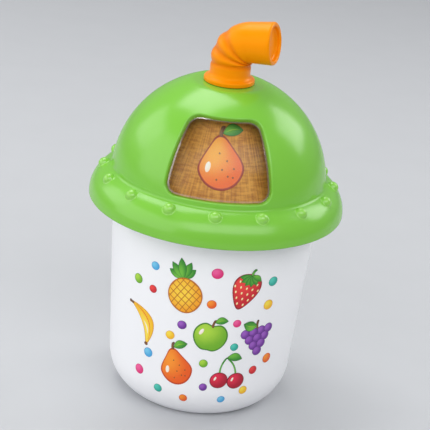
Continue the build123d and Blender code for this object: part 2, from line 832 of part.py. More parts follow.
with BuildPart() as lid_bosses:
    with Locations((0, 0, deck_top)):
        with PolarLocations(deck_screw_ring, deck_screw_count, start_angle=45):
            Cylinder(boss_r, rim_roll_r, align=UP)
    with Locations((0, 0, top_boss_z)):
        Cylinder(top_boss_r, top_boss_h + seat_depth, align=UP)
    add(lid_form(rim_roll_r - rim_wall / 2, dome_r - dome_wall / 2), mode=Mode.INTERSECT)

with BuildPart() as lid_shell:
    add(lid_body)
    bump_turn = acos((bump_ring_r - rim_c_r) / rim_roll_r)
    bump_reach = rim_roll_r - bump_sink
    with Locations((0, 0, rim_z + bump_reach * sin(bump_turn))):
        with PolarLocations(rim_c_r + bump_reach * cos(bump_turn), bump_count, start_angle=-90):
            Sphere(bump_r)
    lip_edge = lid_shell.edges().filter_by(GeomType.CIRCLE).sort_by(Axis.Z)[0]
    fillet(lip_edge, rim_lip_round)
    add(lid_core, mode=Mode.SUBTRACT)
    add(lid_bosses.part)
    with Locations((0, 0, deck_top)):
        with PolarLocations(deck_screw_ring, deck_screw_count, start_angle=45):
            Cylinder(screw_bore_r, screw_grip + fit_gap, align=UP, mode=Mode.SUBTRACT)
    with Locations((0, 0, top_boss_z)):
        Cylinder(bush_out_r + glue_gap, top_boss_h + seat_depth, align=UP, mode=Mode.SUBTRACT)
    with Locations((0, 0, straw_seat_z)):
        Cylinder(dome_r, seat_depth, align=UP, mode=Mode.SUBTRACT)
    seat_edge = lid_shell.edges().filter_by(GeomType.CIRCLE).group_by(Axis.Z)[-1].sort_by(SortBy.RADIUS)[-1]
    fillet(seat_edge, seat_round)
    add(window_cutter, mode=Mode.SUBTRACT)
    dome_centre = Vector(0, 0, dome_z)
    window_rim = lid_shell.edges().filter_by(
        lambda edge: all(abs((edge @ t - dome_centre).length - dome_r) < glue_gap for t in (0, 0.5, 1))
        and (edge @ 0.5).Y < -dome_r / 4
        and window_z_low - glue_gap < (edge @ 0.5).Z < window_z_high + glue_gap
    )
    fillet(window_rim, window_round)
save(lid_shell, "lid_shell")

# Clear window: a plate that fills the opening and a wider flange behind the dome wall
with BuildPart() as window_flange:
    with Locations((0, 0, dome_z)):
        Sphere(dome_in_r - glue_gap)
    add(window_wedge(-lens_flange_w), mode=Mode.INTERSECT)

with BuildPart() as window_lens:
    with Locations((0, 0, dome_z)):
        Sphere(lens_out_r)
    add(window_wedge(fit_gap), mode=Mode.INTERSECT)
    add(window_flange.part)
    with Locations((0, 0, dome_z)):
        Sphere(lens_in_r, mode=Mode.SUBTRACT)
save(window_lens, "window_lens")

# Bush in the top of the dome, flange inside
with BuildPart() as top_bush:
    with Locations((0, 0, top_boss_z)):
        Cylinder(bush_out_r, top_boss_h - fit_gap, align=UP)
        Cylinder(bush_out_r + bush_flange_w, bush_flange_t, align=DOWN)
    with Locations((0, 0, hub_top)):
        Cylinder(spigot_r + bearing_gap, top_boss_h + bush_flange_w, align=UP, mode=Mode.SUBTRACT)
save(top_bush, "top_bush")

# Deck between lid and cup: carries the bush, the encoder board and the leaf spring
with BuildPart() as drum_deck:
    with Locations((0, 0, mouth_z)):
        Cylinder(deck_r, deck_t, align=UP)
    with BuildSketch(Plane.XZ):
        skirt_low = mouth_z - skirt_h
        top_r = wall_in_r(mouth_z) - fit_gap
        low_r = wall_in_r(skirt_low) - fit_gap
        Polygon(
            (top_r - skirt_t, mouth_z),
            (low_r - skirt_t, skirt_low),
            (low_r, skirt_low),
            (top_r, mouth_z),
            align=None,
        )
    revolve(axis=Axis.Z)
    snap_r = wall_in_r(mouth_z - snap_drop)
    snap_len = snap_bite + fit_gap + skirt_t / 2
    with Locations((0, 0, mouth_z - snap_drop)):
        with PolarLocations(snap_r + snap_bite - snap_len / 2, snap_count):
            Box(snap_len, snap_w, snap_h)
    with Locations((0, 0, mouth_z)):
        with PolarLocations(encoder_screw_ring, encoder_screw_count, start_angle=90):
            Cylinder(boss_r, screw_grip - deck_t + boss_wall, align=DOWN)
    with Locations((nose_x + leaf_t + leaf_post_t / 2, leaf_screw_y, mouth_z)):
        Box(leaf_post_t, leaf_post_len, mouth_z - leaf_low, align=DOWN)
    with Locations(Plane(origin=(nose_x + leaf_t, leaf_screw_y, leaf_low + leaf_h / 2), z_dir=(1, 0, 0))):
        Cylinder(screw_bore_r, leaf_post_t, align=UP, mode=Mode.SUBTRACT)
    with Locations((0, 0, deck_top)):
        Cylinder(deck_bush_r + glue_gap, deck_t, align=DOWN, mode=Mode.SUBTRACT)
        with PolarLocations(encoder_screw_ring, encoder_screw_count, start_angle=90):
            Cylinder(screw_bore_r, screw_grip + fit_gap, align=DOWN, mode=Mode.SUBTRACT)
        with PolarLocations(deck_screw_ring, deck_screw_count, start_angle=45):
            Cylinder(screw_hole_r, deck_t, align=DOWN, mode=Mode.SUBTRACT)
        with Locations((encoder_plug_x, 0)):
            Box(speaker_plug_w, encoder_plug_len, deck_t, align=DOWN, mode=Mode.SUBTRACT)
save(drum_deck, "drum_deck")

with BuildPart() as deck_screws:
    with Locations((0, 0, mouth_z)):
        with PolarLocations(deck_screw_ring, deck_screw_count, start_angle=45):
            pan_screw(deck_t + screw_grip)
save(deck_screws, "deck_screws")

with BuildPart() as deck_bush:
    with Locations((0, 0, mouth_z)):
        Cylinder(deck_bush_r, deck_t, align=UP)
    with Locations((0, 0, deck_top)):
        Cylinder(deck_bush_r + deck_bush_flange_w, bush_rise, align=UP)
    with Locations((0, 0, mouth_z)):
        Cylinder(journal_r + bearing_gap, deck_t + bush_rise, align=UP, mode=Mode.SUBTRACT)
save(deck_bush, "deck_bush")

# Position encoder: a ring board on the deck and a wiper under the drum
with BuildPart() as encoder_board:
    with BuildSketch(Plane.XY.offset(deck_top)):
        Circle(encoder_out_r)
        Circle(encoder_in_r, mode=Mode.SUBTRACT)
        with PolarLocations(encoder_screw_ring, encoder_screw_count, start_angle=90):
            Circle(screw_hole_r, mode=Mode.SUBTRACT)
    extrude(amount=encoder_t)
save(encoder_board, "encoder_board")

with BuildPart() as encoder_screws:
    with Locations(Plane(origin=(0, 0, encoder_top), z_dir=(0, 0, -1))):
        with PolarLocations(encoder_screw_ring, encoder_screw_count, start_angle=90):
            pan_screw(encoder_t + screw_grip)
save(encoder_screws, "encoder_screws")

with BuildPart() as encoder_wiper:
    finger_top = carrier_z - wiper_t
    finger_low = encoder_top + wiper_gap
    finger_r = (wiper_in_r + wiper_out_r) / 2
    with BuildSketch(Plane.XY.offset(finger_top)):
        Circle(wiper_out_r)
        Circle(wiper_in_r, mode=Mode.SUBTRACT)
    extrude(amount=wiper_t)
    for finger in range(wiper_finger_count):
        outward = meridian(finger * 360 / wiper_finger_count).x_dir
        across = Vector(-outward.Y, outward.X)
        finger_root = outward * (finger_r - wiper_finger_w / 2)
        with BuildSketch(Plane(origin=finger_root, x_dir=across, z_dir=outward)):
            Polygon(
                (0, finger_top + wiper_t / 2),
                (wiper_t, finger_top + wiper_t / 2),
                (wiper_finger_lean + wiper_t, finger_low),
                (wiper_finger_lean, finger_low),
                align=None,
            )
        extrude(amount=wiper_finger_w)
save(encoder_wiper, "encoder_wiper")

# Detent leaf spring on the deck: a thin strip with a rounded nose in a notch of the wheel
with BuildPart() as detent_leaf:
    with BuildSketch(Plane.XY.offset(leaf_low)):
        with Locations((nose_x + leaf_t / 2, (leaf_tail - leaf_reach - leaf_foot) / 2)):
            Rectangle(leaf_t, leaf_tail + leaf_reach + leaf_foot)
        with Locations((nose_x, 0)):
            Circle(nose_r)
            Circle(nose_r - leaf_t, mode=Mode.SUBTRACT)
        with Locations((nose_x + leaf_t + nose_r / 2, 0)):
            Rectangle(nose_r, 2 * nose_r, mode=Mode.SUBTRACT)
    extrude(amount=leaf_h)
    with Locations(Plane(origin=(nose_x, leaf_screw_y, leaf_low + leaf_h / 2), z_dir=(1, 0, 0))):
        Cylinder(screw_hole_r, leaf_t, align=UP, mode=Mode.SUBTRACT)
save(detent_leaf, "detent_leaf")

with BuildPart() as leaf_screw:
    with Locations(Plane(origin=(nose_x, leaf_screw_y, leaf_low + leaf_h / 2), z_dir=(1, 0, 0))):
        pan_screw(leaf_t + leaf_post_t - fit_gap)
save(leaf_screw, "leaf_screw")

# Straw: flared collar, ribbed bend, plain elbow and an open end, with a keyed spigot below
straw_plane = meridian(straw_azimuth)
straw_out = straw_plane.x_dir
straw_side = straw_plane.z_dir
collar_z = straw_seat_z + thrust_gap
bend_z = straw_seat_z + straw_rise
bend_r = straw_r + bend_inner_r


def bend_station(angle, step=0):
    """Plane across the straw's axis after turning by an angle, moved on along the axis by a step."""
    turn = radians(angle)
    along = straw_out * sin(turn) + Vector(0, 0, 1) * cos(turn)
    centre = straw_out * (bend_r * (1 - cos(turn))) + Vector(0, 0, bend_z + bend_r * sin(turn))
    return Plane(origin=centre + along * step, x_dir=straw_side, z_dir=along)


with BuildPart() as straw:
    flare_turn = degrees(acos(1 - (straw_collar_r - straw_r) / (straw_collar_round + straw_flare_r)))
    with BuildSketch(Plane.XZ):
        with BuildLine():
            edge = Line((straw_collar_r, collar_z), (straw_collar_r, collar_z + straw_collar_h))
            crown = JernArc(edge @ 1, (0, 1), straw_collar_round, flare_turn)
            flare = JernArc(crown @ 1, crown % 1, straw_flare_r, -flare_turn)
            Polyline(flare @ 1, (straw_r, bend_z), (0, bend_z), (0, collar_z), edge @ 0)
        make_face()
    revolve(axis=Axis.Z)
    rib_stations = [(0, straw_r - rib_groove)]
    for rib in range(rib_count):
        start = rib * rib_angle
        rib_stations.append((start + rib_flat_share * rib_angle, straw_r + rib_crest))
        rib_stations.append((start + (1 - rib_flat_share) * rib_angle, straw_r + rib_crest))
        rib_stations.append((start + rib_angle, straw_r - rib_groove))
    for angle, radius in rib_stations:
        with BuildSketch(bend_station(angle)):
            Circle(radius)
    loft(ruled=True)
    ribs_end = rib_count * rib_angle
    with BuildSketch(bend_station(ribs_end)):
        Circle(straw_r)
    bend_axis = Axis(straw_out * bend_r + Vector(0, 0, bend_z), straw_side * -1)
    revolve(axis=bend_axis, revolution_arc=bend_angle - ribs_end)
    with BuildSketch(bend_station(bend_angle)):
        Circle(straw_r)
    with BuildSketch(bend_station(bend_angle, straw_end_len)):
        Circle(straw_end_r)
    loft(ruled=True)
    end_plane = bend_station(bend_angle, straw_end_len)
    fillet(straw.faces().sort_by_distance(end_plane.origin)[0].edges(), straw_end_round)
    with BuildSketch(end_plane):
        Circle(straw_mouth_r)
    extrude(amount=-straw_mouth_depth, mode=Mode.SUBTRACT)
    with Locations((0, 0, hub_top)):
        Cylinder(spigot_r, collar_z - hub_top, align=UP)
    with BuildSketch(Plane.XY.offset(key_low)):
        RegularPolygon(key_r, key_sides)
    extrude(amount=key_len)
    with Locations((0, 0, key_low)):
        Cylinder(screw_bore_r, screw_grip + fit_gap, align=UP, mode=Mode.SUBTRACT)
save(straw, "straw")

# Picture drum: a cone under the window on a hub that runs from the straw's key down to the deck
with BuildPart() as picture_band:
    with Locations((0, 0, picture_low_z)):
        height = picture_high_z - picture_low_z
        Cone(picture_low_r, picture_high_r, height, align=UP)
        Cone(picture_low_r - band_t, picture_high_r - band_t, height, align=UP, mode=Mode.SUBTRACT)
save(picture_band, "picture_band")

with BuildPart() as picture_drum:
    skin = band_t + glue_gap
    inner_top = picture_high_z - drum_top_t
    with Locations((0, 0, picture_low_z)):
        Cone(picture_low_r - skin, picture_high_r - skin, picture_high_z - picture_low_z, align=UP)
        Cone(
            picture_low_r - skin - drum_wall,
            picture_r(inner_top) - skin - drum_wall,
            inner_top - picture_low_z,
            align=UP,
            mode=Mode.SUBTRACT,
        )
    with Locations((0, 0, carrier_z)):
        Cylinder(hub_r, hub_top - carrier_z, align=UP)
        Cylinder(carrier_r, carrier_t, align=UP)
    with Locations((0, 0, journal_low)):
        Cylinder(journal_r, carrier_z - journal_low, align=UP)
        Cylinder(journal_bore_r, web_low - journal_low, align=UP, mode=Mode.SUBTRACT)
    with Locations((0, 0, carrier_z)):
        Cylinder(hub_bore_r, web_low - carrier_z, align=UP, mode=Mode.SUBTRACT)
    with Locations((0, 0, web_low)):
        Cylinder(screw_hole_r, hub_web_t, align=UP, mode=Mode.SUBTRACT)
    with BuildSketch(Plane.XY.offset(key_low)):
        RegularPolygon(key_r + fit_gap, key_sides)
    extrude(amount=key_len, mode=Mode.SUBTRACT)
    with Locations((journal_r - journal_flat, 0, journal_low)):
        Box(
            2 * journal_flat,
            2 * journal_r,
            wheel_top - journal_low,
            align=(Align.MIN, Align.CENTER, Align.MIN),
            mode=Mode.SUBTRACT,
        )
    with BuildSketch(Plane.XY.offset(clip_top + glue_gap)):
        Circle(journal_r + clip_bite)
        Circle(journal_r - clip_bite, mode=Mode.SUBTRACT)
    extrude(amount=-clip_t - 2 * glue_gap, mode=Mode.SUBTRACT)
save(picture_drum, "picture_drum")

with BuildPart() as drum_screw:
    with Locations((0, 0, web_low)):
        pan_screw(hub_web_t + screw_grip)
save(drum_screw, "drum_screw")

# Detent wheel on the drum's lower journal and the clip that holds it
with BuildPart() as detent_wheel:
    with BuildSketch(Plane.XY.offset(wheel_low)):
        Circle(wheel_r)
        with PolarLocations(nose_x, notch_count):
            Circle(nose_r + nose_gap, mode=Mode.SUBTRACT)
        Circle(journal_r + glue_gap, mode=Mode.SUBTRACT)
        with Locations((journal_r - journal_flat + glue_gap, 0)):
            Rectangle(2 * journal_flat, 2 * journal_r - journal_flat, align=(Align.MIN, Align.CENTER))
    extrude(amount=wheel_h)
save(detent_wheel, "detent_wheel")

with BuildPart() as retaining_clip:
    with BuildSketch(Plane.XY.offset(clip_top - clip_t)):
        Circle(journal_r - clip_bite + glue_gap + clip_w)
        Circle(journal_r - clip_bite + glue_gap, mode=Mode.SUBTRACT)
        with Locations((0, -journal_r)):
            Rectangle(clip_gap_w, 2 * clip_w + clip_bite, mode=Mode.SUBTRACT)
    extrude(amount=clip_t)
save(retaining_clip, "retaining_clip")

# Leads inside the cup
plug_top = board_top + plug_h
terminal_z = speaker_z - terminal_drop
terminal_y = magnet_y + terminal_t / 2

with BuildPart() as speaker_leads:
    for x in (-lead_pitch / 2, lead_pitch / 2):
        mid_z = (plug_top + terminal_z) / 2
        points = [
            (x, speaker_plug_y, plug_top),
            (x, speaker_plug_y, mid_z - lead_r),
            (x, terminal_y, mid_z + lead_r),
            (x, terminal_y, terminal_z),
        ]
        add(lead(points))
save(speaker_leads, "speaker_leads")

with BuildPart() as encoder_leads:
    for y in (-lead_pitch, 0, lead_pitch):
        points = [
            (encoder_plug_x, y, plug_top),
            (encoder_plug_x, y, plug_top + lead_rise),
            (encoder_plug_x - lead_bow, y, (plug_top + deck_top) / 2),
            (encoder_plug_x, y, deck_top - lead_rise),
            (encoder_plug_x, y, deck_top),
        ]
        add(lead(points))
save(encoder_leads, "encoder_leads")
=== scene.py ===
"""Looks of a toddler's toy smoothie cup, built around its CAD frame.

Metres. +Z is up, the window faces -Y and the straw points to +X.
"""

from math import cos, pi, radians, sin

import bpy
import numpy as np
from mathutils import Matrix, Vector


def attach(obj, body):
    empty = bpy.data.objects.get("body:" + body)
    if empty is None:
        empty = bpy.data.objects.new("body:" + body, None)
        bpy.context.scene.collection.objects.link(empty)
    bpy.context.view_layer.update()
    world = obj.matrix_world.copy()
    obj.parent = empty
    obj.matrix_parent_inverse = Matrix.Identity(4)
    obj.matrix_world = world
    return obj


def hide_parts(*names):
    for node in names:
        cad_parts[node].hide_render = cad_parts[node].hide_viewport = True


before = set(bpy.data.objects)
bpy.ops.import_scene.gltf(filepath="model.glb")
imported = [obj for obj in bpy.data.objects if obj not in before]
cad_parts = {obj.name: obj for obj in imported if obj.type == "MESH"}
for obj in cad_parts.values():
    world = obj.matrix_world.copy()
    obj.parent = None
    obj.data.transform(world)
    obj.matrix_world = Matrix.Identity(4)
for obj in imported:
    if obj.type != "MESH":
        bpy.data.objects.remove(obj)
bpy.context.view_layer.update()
scene = bpy.context.scene
MM = 0.001

# Camera, as the photograph was taken: place, aim and roll
CAMERA_TARGET = Vector((0.0, 0.0, 80.85 * MM))
CAMERA_DISTANCE = 700.0 * MM
CAMERA_AZIMUTH = radians(-0.7)
CAMERA_ELEVATION = radians(21.779)
CAMERA_PAN = radians(-0.033)
CAMERA_TILT = radians(0.045)
CAMERA_ROLL = radians(-6.372)
PHOTO_SIDE_PX = 430
FOCAL_LENGTH_PX = 1609.8
SENSOR_WIDTH_MM = 36.0

# Cup
WALL_LOW_Z = 16.5 * MM
WALL_LOW_RADIUS = 40.216 * MM
WALL_SLOPE = 0.06116
BOWL_RADIUS = 20.5 * MM
BOWL_RING = 19.754 * MM
BOWL_Z = 17.754 * MM
MID_HEIGHT = 45.0 * MM

# Dome, rim and bumps of the lid
DOME_RADIUS = 46.3 * MM
DOME_Z = 98.9 * MM
RIM_ROLL_RING = 41.8 * MM
RIM_ROLL_Z = 89.5 * MM
RIM_ROLL_RADIUS = 13.2 * MM
RIM_REACH = 54.99 * MM
LIP_Z = 88.2 * MM
LIP_ROUND = 1.0 * MM
CREASE_ROUND = 2.0 * MM
SKIN_LIFT = 0.006 * MM
SKIN_SINK = 0.02 * MM
SKIN_EDGE = 0.8 * MM
SKIN_DEPTH = 0.6 * MM
BUMP_COUNT = 16
BUMP_TILT = radians(54.3)
BUMP_RADIUS = 2.6 * MM
BUMP_RISE = 2.2 * MM
BUMP_FOOT = 0.7 * MM
BUMP_EDGE = 0.25 * MM
BUMP_SINK = 0.05 * MM

# Window lens
WINDOW_HALF_ANGLE = radians(29.2)
WINDOW_LOW_ANGLE = radians(7.2)
WINDOW_HIGH_ANGLE = radians(52.0)
WINDOW_CORNER = 5.2 * MM
LENS_CLEARANCE = 0.15 * MM
LENS_RADIUS = 45.2 * MM
LENS_INNER_RADIUS = 42.1 * MM
LENS_EDGE_ROUND = 0.7 * MM
FLANGE_WIDTH = 2.2 * MM
FLANGE_RADIUS = 43.6 * MM

# Picture cone
PICTURE_LOW_Z = 103.0 * MM
PICTURE_LOW_RADIUS = 40.96 * MM
PICTURE_HIGH_Z = 135.886 * MM
PICTURE_HIGH_RADIUS = 18.29 * MM
PICTURE_MID_Z = 118.0 * MM
PICTURE_SHIFT = (0.0, -1.2)
PICTURE_SIZE = 1.16

# Straw
STRAW_AZIMUTH = radians(-18.5)
SEAT_Z = 142.42 * MM
SEAT_GAP = 0.15 * MM
SPIGOT_RADIUS = 6.0 * MM
SPIGOT_DEPTH = 4.85 * MM
KEY_RADIUS = 4.1 * MM
KEY_DEPTH = 12.85 * MM
COLLAR_RADIUS = 10.8 * MM
COLLAR_HEIGHT = 1.2 * MM
COLLAR_CROWN = 0.9 * MM
COLLAR_FLARE = 2.0 * MM
COLLAR_EDGE = 0.35 * MM
STRAW_RADIUS = 8.6 * MM
STRAW_RISE = 8.9 * MM
BEND_RADIUS = 9.67 * MM
BEND_ANGLE = radians(82.3)
GROOVE_ANGLES = np.radians([-3.0, 21.0, 44.5])
GROOVE_DEPTH = 0.82 * MM
GROOVE_WIDTH = radians(7.4)
RIB_CREST = 0.46 * MM
RIB_FADE = radians(16.0)
END_LENGTH = 9.95 * MM
END_RADIUS = 9.05 * MM
END_ROUND = 1.0 * MM
MOUTH_RADIUS = 7.1 * MM
MOUTH_DEPTH = 2.0 * MM
MOUTH_ROUND = 0.9 * MM

# Printed ink
INK_STEP = 0.035 * MM
INK_BASE = 0.06 * MM
INK_SINK = 0.05 * MM
DISC_MAP = "disc"

# Mesh divisions
STRAW_COLUMNS = 128
BEND_ROWS = 160
OUTLINE_POINTS = 240
CORNER_POINTS = 12
LENS_ROWS = 24
LENS_ROLL_ROWS = 7
RIM_COLUMNS = 384
BUMP_COLUMNS = 48
INK_COLUMNS = 48
FLOOR_LINES = 13
POLE_GAP = 0.05 * MM


def tint(red, green, blue):
    """Linear colour of a screen colour given in 0 to 255."""
    share = np.array([red, green, blue]) / 255.0
    linear = np.where(share > 0.04045, ((share + 0.055) / 1.055) ** 2.4, share / 12.92)
    return (*linear.tolist(), 1.0)


class Shade:
    """A socket in a material's node tree. Arithmetic adds Math nodes, and node() adds any other."""

    def __init__(self, tree, socket=None):
        self.tree = tree
        self.socket = socket

    def node(self, kind, settings=None, sockets=None, out=0):
        """One node of a kind: its settings are set first, then the values or links of its sockets."""
        made = self.tree.nodes.new(kind)
        for key, value in (settings or {}).items():
            setattr(made, key, value)
        for key, value in (sockets or {}).items():
            if isinstance(value, Shade):
                self.tree.links.new(value.socket, made.inputs[key])
            else:
                made.inputs[key].default_value = value
        return Shade(self.tree, made.outputs[out])

    def math(self, operation, a, b=0.0):
        """One Math node on two values."""
        return self.node("ShaderNodeMath", {"operation": operation}, {0: a, 1: b})

    def __add__(self, other):
        return self.math("ADD", self, other)

    __radd__ = __add__

    def __sub__(self, other):
        return self.math("SUBTRACT", self, other)

    def __rsub__(self, other):
        return self.math("SUBTRACT", other, self)

    def __mul__(self, other):
        return self.math("MULTIPLY", self, other)

    __rmul__ = __mul__

    def mix(self, low, high):
        """Colour between low and high, with this value as the factor."""
        return self.node("ShaderNodeMix", {"data_type": "RGBA"}, {0: self, 6: low, 7: high}, out=2)

    def noise(self, scale, detail=2.0):
        """Noise on this vector, with a number of features per metre."""
        return self.node("ShaderNodeTexNoise", None, {"Vector": self, "Scale": scale, "Detail": detail})

    def step(self, low, high):
        """0 below low, 1 above high and smooth between."""
        ends = {"Value": self, "From Min": low, "From Max": high}
        return self.node("ShaderNodeMapRange", {"interpolation_type": "SMOOTHSTEP"}, ends)

    def part(self, axis):
        """One of this vector's three numbers."""
        return self.node("ShaderNodeSeparateXYZ", None, {0: self}, out="XYZ".index(axis))

    def vector(self, x, y, z):
        """A vector of three numbers, each a Shade or plain."""
        return self.node("ShaderNodeCombineXYZ", None, {0: x, 1: y, 2: z})

    def length(self):
        """Length of this vector."""
        return self.node("ShaderNodeVectorMath", {"operation": "LENGTH"}, {0: self}, out="Value")


def make_material(name, paint, bump_depth=0.0, uv_map=None, **fixed):
    """Principled material: paint() gives what changes over the surface, fixed what is the same all over.

    The pattern lies on Object coordinates, or on a UV map of the piece's own.
    """
    made = bpy.data.materials.new(name)
    made.use_nodes = True
    tree = made.node_tree
    shader = tree.nodes["Principled BSDF"]
    for key, value in fixed.items():
        shader.inputs[key.replace("_", " ")].default_value = value
    if uv_map:
        coords = Shade(tree).node("ShaderNodeUVMap", {"uv_map": uv_map})
    else:
        coords = Shade(tree).node("ShaderNodeTexCoord", out="Object")
    varying = paint(coords)
    if "Height" in varying:
        height = varying.pop("Height")
        varying["Normal"] = coords.node("ShaderNodeBump", None, {"Distance": bump_depth, "Height": height})
    for key, value in varying.items():
        tree.links.new(value.socket, shader.inputs[key])
    return made


def moulded_plastic(name, light, deep, roughness, grain, **fixed):
    """Moulded plastic: slow colour drift, uneven gloss and a moulded grain.

    The grain is given by its features per metre and its depth in metres.
    """
    grain_scale, grain_depth = grain

    def paint(coords):
        return {
            "Base Color": coords.noise(38.0).mix(light, deep),
            "Roughness": roughness - 0.04 + 0.08 * coords.noise(420.0),
            "Height": coords.noise(grain_scale),
        }

    return make_material(name, paint, bump_depth=grain_depth, **fixed)


def groove_shaded_plastic(name):
    """Orange plastic with painted shade in its grooves, darker where the mesh's own crease attribute is
    high.
    """

    def paint(coords):
        crease = coords.node("ShaderNodeAttribute", {"attribute_name": "crease"}, out="Fac")
        skin = coords.noise(38.0).mix((0.990, 0.310, 0.001, 1.0), (0.970, 0.282, 0.001, 1.0))
        # Painted shade: the crease attribute darkens the grooves towards a deep orange.
        return {
            "Base Color": (0.6 * crease).mix(skin, (0.760, 0.155, 0.001, 1.0)),
            "Roughness": 0.28 + 0.08 * coords.noise(420.0),
            "Height": coords.noise(60.0),
        }

    gloss = {"Specular_IOR_Level": 0.45, "Specular_Tint": (1.0, 0.55, 0.10, 1.0)}
    return make_material(name, paint, bump_depth=0.00003, **gloss)


def bare_metal(name, light, deep, roughness, streak):
    """Plated or rolled metal: cloudy tone, with fine streaks along X where streak is high."""

    def paint(coords):
        x, y, z = coords.part("X"), coords.part("Y"), coords.part("Z")
        drawn = coords.vector(x * 300.0, y * 300.0 * streak, z * 300.0 * streak).noise(1.0, 4.0)
        return {
            "Base Color": coords.noise(900.0).mix(light, deep),
            "Roughness": roughness - 0.08 + 0.16 * drawn,
            "Height": drawn,
        }

    return make_material(name, paint, bump_depth=0.000008, Metallic=1.0)


def circuit_board():
    """Green solder mask over tracks: a maze of thin lines a little lighter than the board."""

    def paint(coords):
        cells = {"Vector": coords, "Scale": 420.0, "Randomness": 0.35}
        lines = coords.node("ShaderNodeTexVoronoi", {"feature": "DISTANCE_TO_EDGE"}, cells)
        track = 1.0 - lines.step(0.05, 0.11)
        return {
            "Base Color": track.mix(tint(14, 92, 44), tint(34, 128, 66)),
            "Roughness": 0.34 + 0.12 * coords.noise(600.0),
            "Height": track,
        }

    return make_material("board_mask", paint, bump_depth=0.00003)


def battery_jacket():
    """Printed cell jacket along X: a dark body with a copper band at one end and plain steel past it."""

    def paint(coords):
        along = coords.part("X") * 1000.0
        band = along.step(10.4, 10.7)
        cap = along.step(20.6, 20.9)
        body = band.mix(tint(38, 40, 46), tint(196, 120, 52))
        return {
            "Base Color": cap.mix(body, tint(190, 190, 186)),
            "Roughness": 0.30 + 0.10 * coords.noise(300.0),
            "Height": coords.noise(1500.0),
        }

    return make_material("battery_jacket", paint, bump_depth=0.000006, Metallic=0.35)


def speaker_paper():
    """Pressed paper pulp: dark, dull and fibrous."""

    def paint(coords):
        fibre = coords.noise(2400.0, 6.0)
        return {
            "Base Color": fibre.mix(tint(34, 32, 32), tint(58, 55, 53)),
            "Roughness": 0.85 + 0.10 * fibre,
            "Height": fibre,
        }

    return make_material("speaker_paper", paint, bump_depth=0.00006)


def picture_card():
    """Printed card: a tan ground with a woven look, streaks round the band crossed by streaks up it. It
    glows faintly, painted light that fills the shade the window's walls cast on it.
    """

    def paint(coords):
        x, y, z = coords.part("X"), coords.part("Y"), coords.part("Z")
        turn = coords.math("ARCTAN2", x, -1.0 * y)
        across = coords.vector(turn * 7.0, z * 1100.0, 0.0).noise(1.0, 3.0)
        upward = coords.vector(turn * 52.0, z * 70.0, 4.0).noise(1.0, 3.0)
        weave = 0.5 * across + 0.5 * upward
        return {
            "Base Color": weave.step(0.36, 0.66).mix(tint(226, 162, 62), tint(174, 102, 22)),
            "Roughness": 0.45 + 0.12 * across,
        }

    # Painted light: a faint tan glow lifts the shade cast on the card by the window's walls.
    glow = {"Emission_Color": tint(190, 130, 50), "Emission_Strength": 0.06}
    return make_material("picture_card_print", paint, **glow)


def clear_plastic(name, gloss_roughness, gloss_share):
    """Clear plastic: see-through, with a gloss that grows at a slant."""
    made = bpy.data.materials.new(name)
    made.use_nodes = True
    tree = made.node_tree
    tree.nodes.remove(tree.nodes["Principled BSDF"])
    start = Shade(tree)
    coords = start.node("ShaderNodeTexCoord", out="Object")
    ripple = start.node("ShaderNodeBump", None, {"Distance": 0.00002, "Height": coords.noise(90.0)})
    slant = start.node("ShaderNodeFresnel", None, {"IOR": 1.5})
    through = start.node("ShaderNodeBsdfTransparent", None, {"Color": (0.985, 0.99, 0.985, 1.0)})
    gloss = start.node("ShaderNodeBsdfGlossy", None, {"Roughness": gloss_roughness, "Normal": ripple})
    mixed = start.node("ShaderNodeMixShader", None, {0: slant * gloss_share, 1: through, 2: gloss})
    tree.links.new(mixed.socket, tree.nodes["Material Output"].inputs["Surface"])
    return made


def printed_ink(name, light, deep, line):
    """Ink on a patch whose UV map is its unit disc: lit from the upper left, with a drawn line round it."""

    def paint(coords):
        x = coords.part("X") * 2.0 - 1.0
        y = coords.part("Y") * 2.0 - 1.0
        from_glow = coords.vector(x + 0.38, y - 0.42, 0.0).length()
        from_middle = coords.vector(x, y, 0.0).length()
        mottle = 0.16 * coords.noise(7.0, 4.0)
        body = (from_glow + mottle).step(0.20, 1.45).mix(light, deep)
        return {
            "Base Color": from_middle.step(0.90, 0.94).mix(body, line),
            "Roughness": 0.30 + 0.10 * coords.noise(5.0),
        }

    return make_material(name, paint, uv_map=DISC_MAP)


def lattice_ink(name, light, deep, line):
    """Ink with crossing slanted lines, as on a pineapple."""

    def paint(coords):
        x = coords.part("X") * 2.0 - 1.0
        y = coords.part("Y") * 2.0 - 1.0
        across = coords.math("PINGPONG", 2.3 * (x + y) + 20.0, 0.5)
        back = coords.math("PINGPONG", 2.3 * (x - y) + 20.0, 0.5)
        near_line = coords.math("MINIMUM", across, back).step(0.03, 0.12)
        from_middle = coords.vector(x, y, 0.0).length()
        body = (from_middle + 0.25 * x - 0.25 * y).step(0.1, 1.2).mix(light, deep)
        return {
            "Base Color": from_middle.step(0.92, 0.95).mix(near_line.mix(line, body), line),
            "Roughness": 0.30 + 0.10 * coords.noise(5.0),
        }

    return make_material(name, paint, uv_map=DISC_MAP)


# Materials
SOFT_GRAIN = (60.0, 0.00003)
FINE_GRAIN = (900.0, 0.00001)
MATT_GRAIN = (2600.0, 0.00002)
lid_light, lid_deep = (0.204, 0.560, 0.044, 1.0), (0.188, 0.528, 0.040, 1.0)
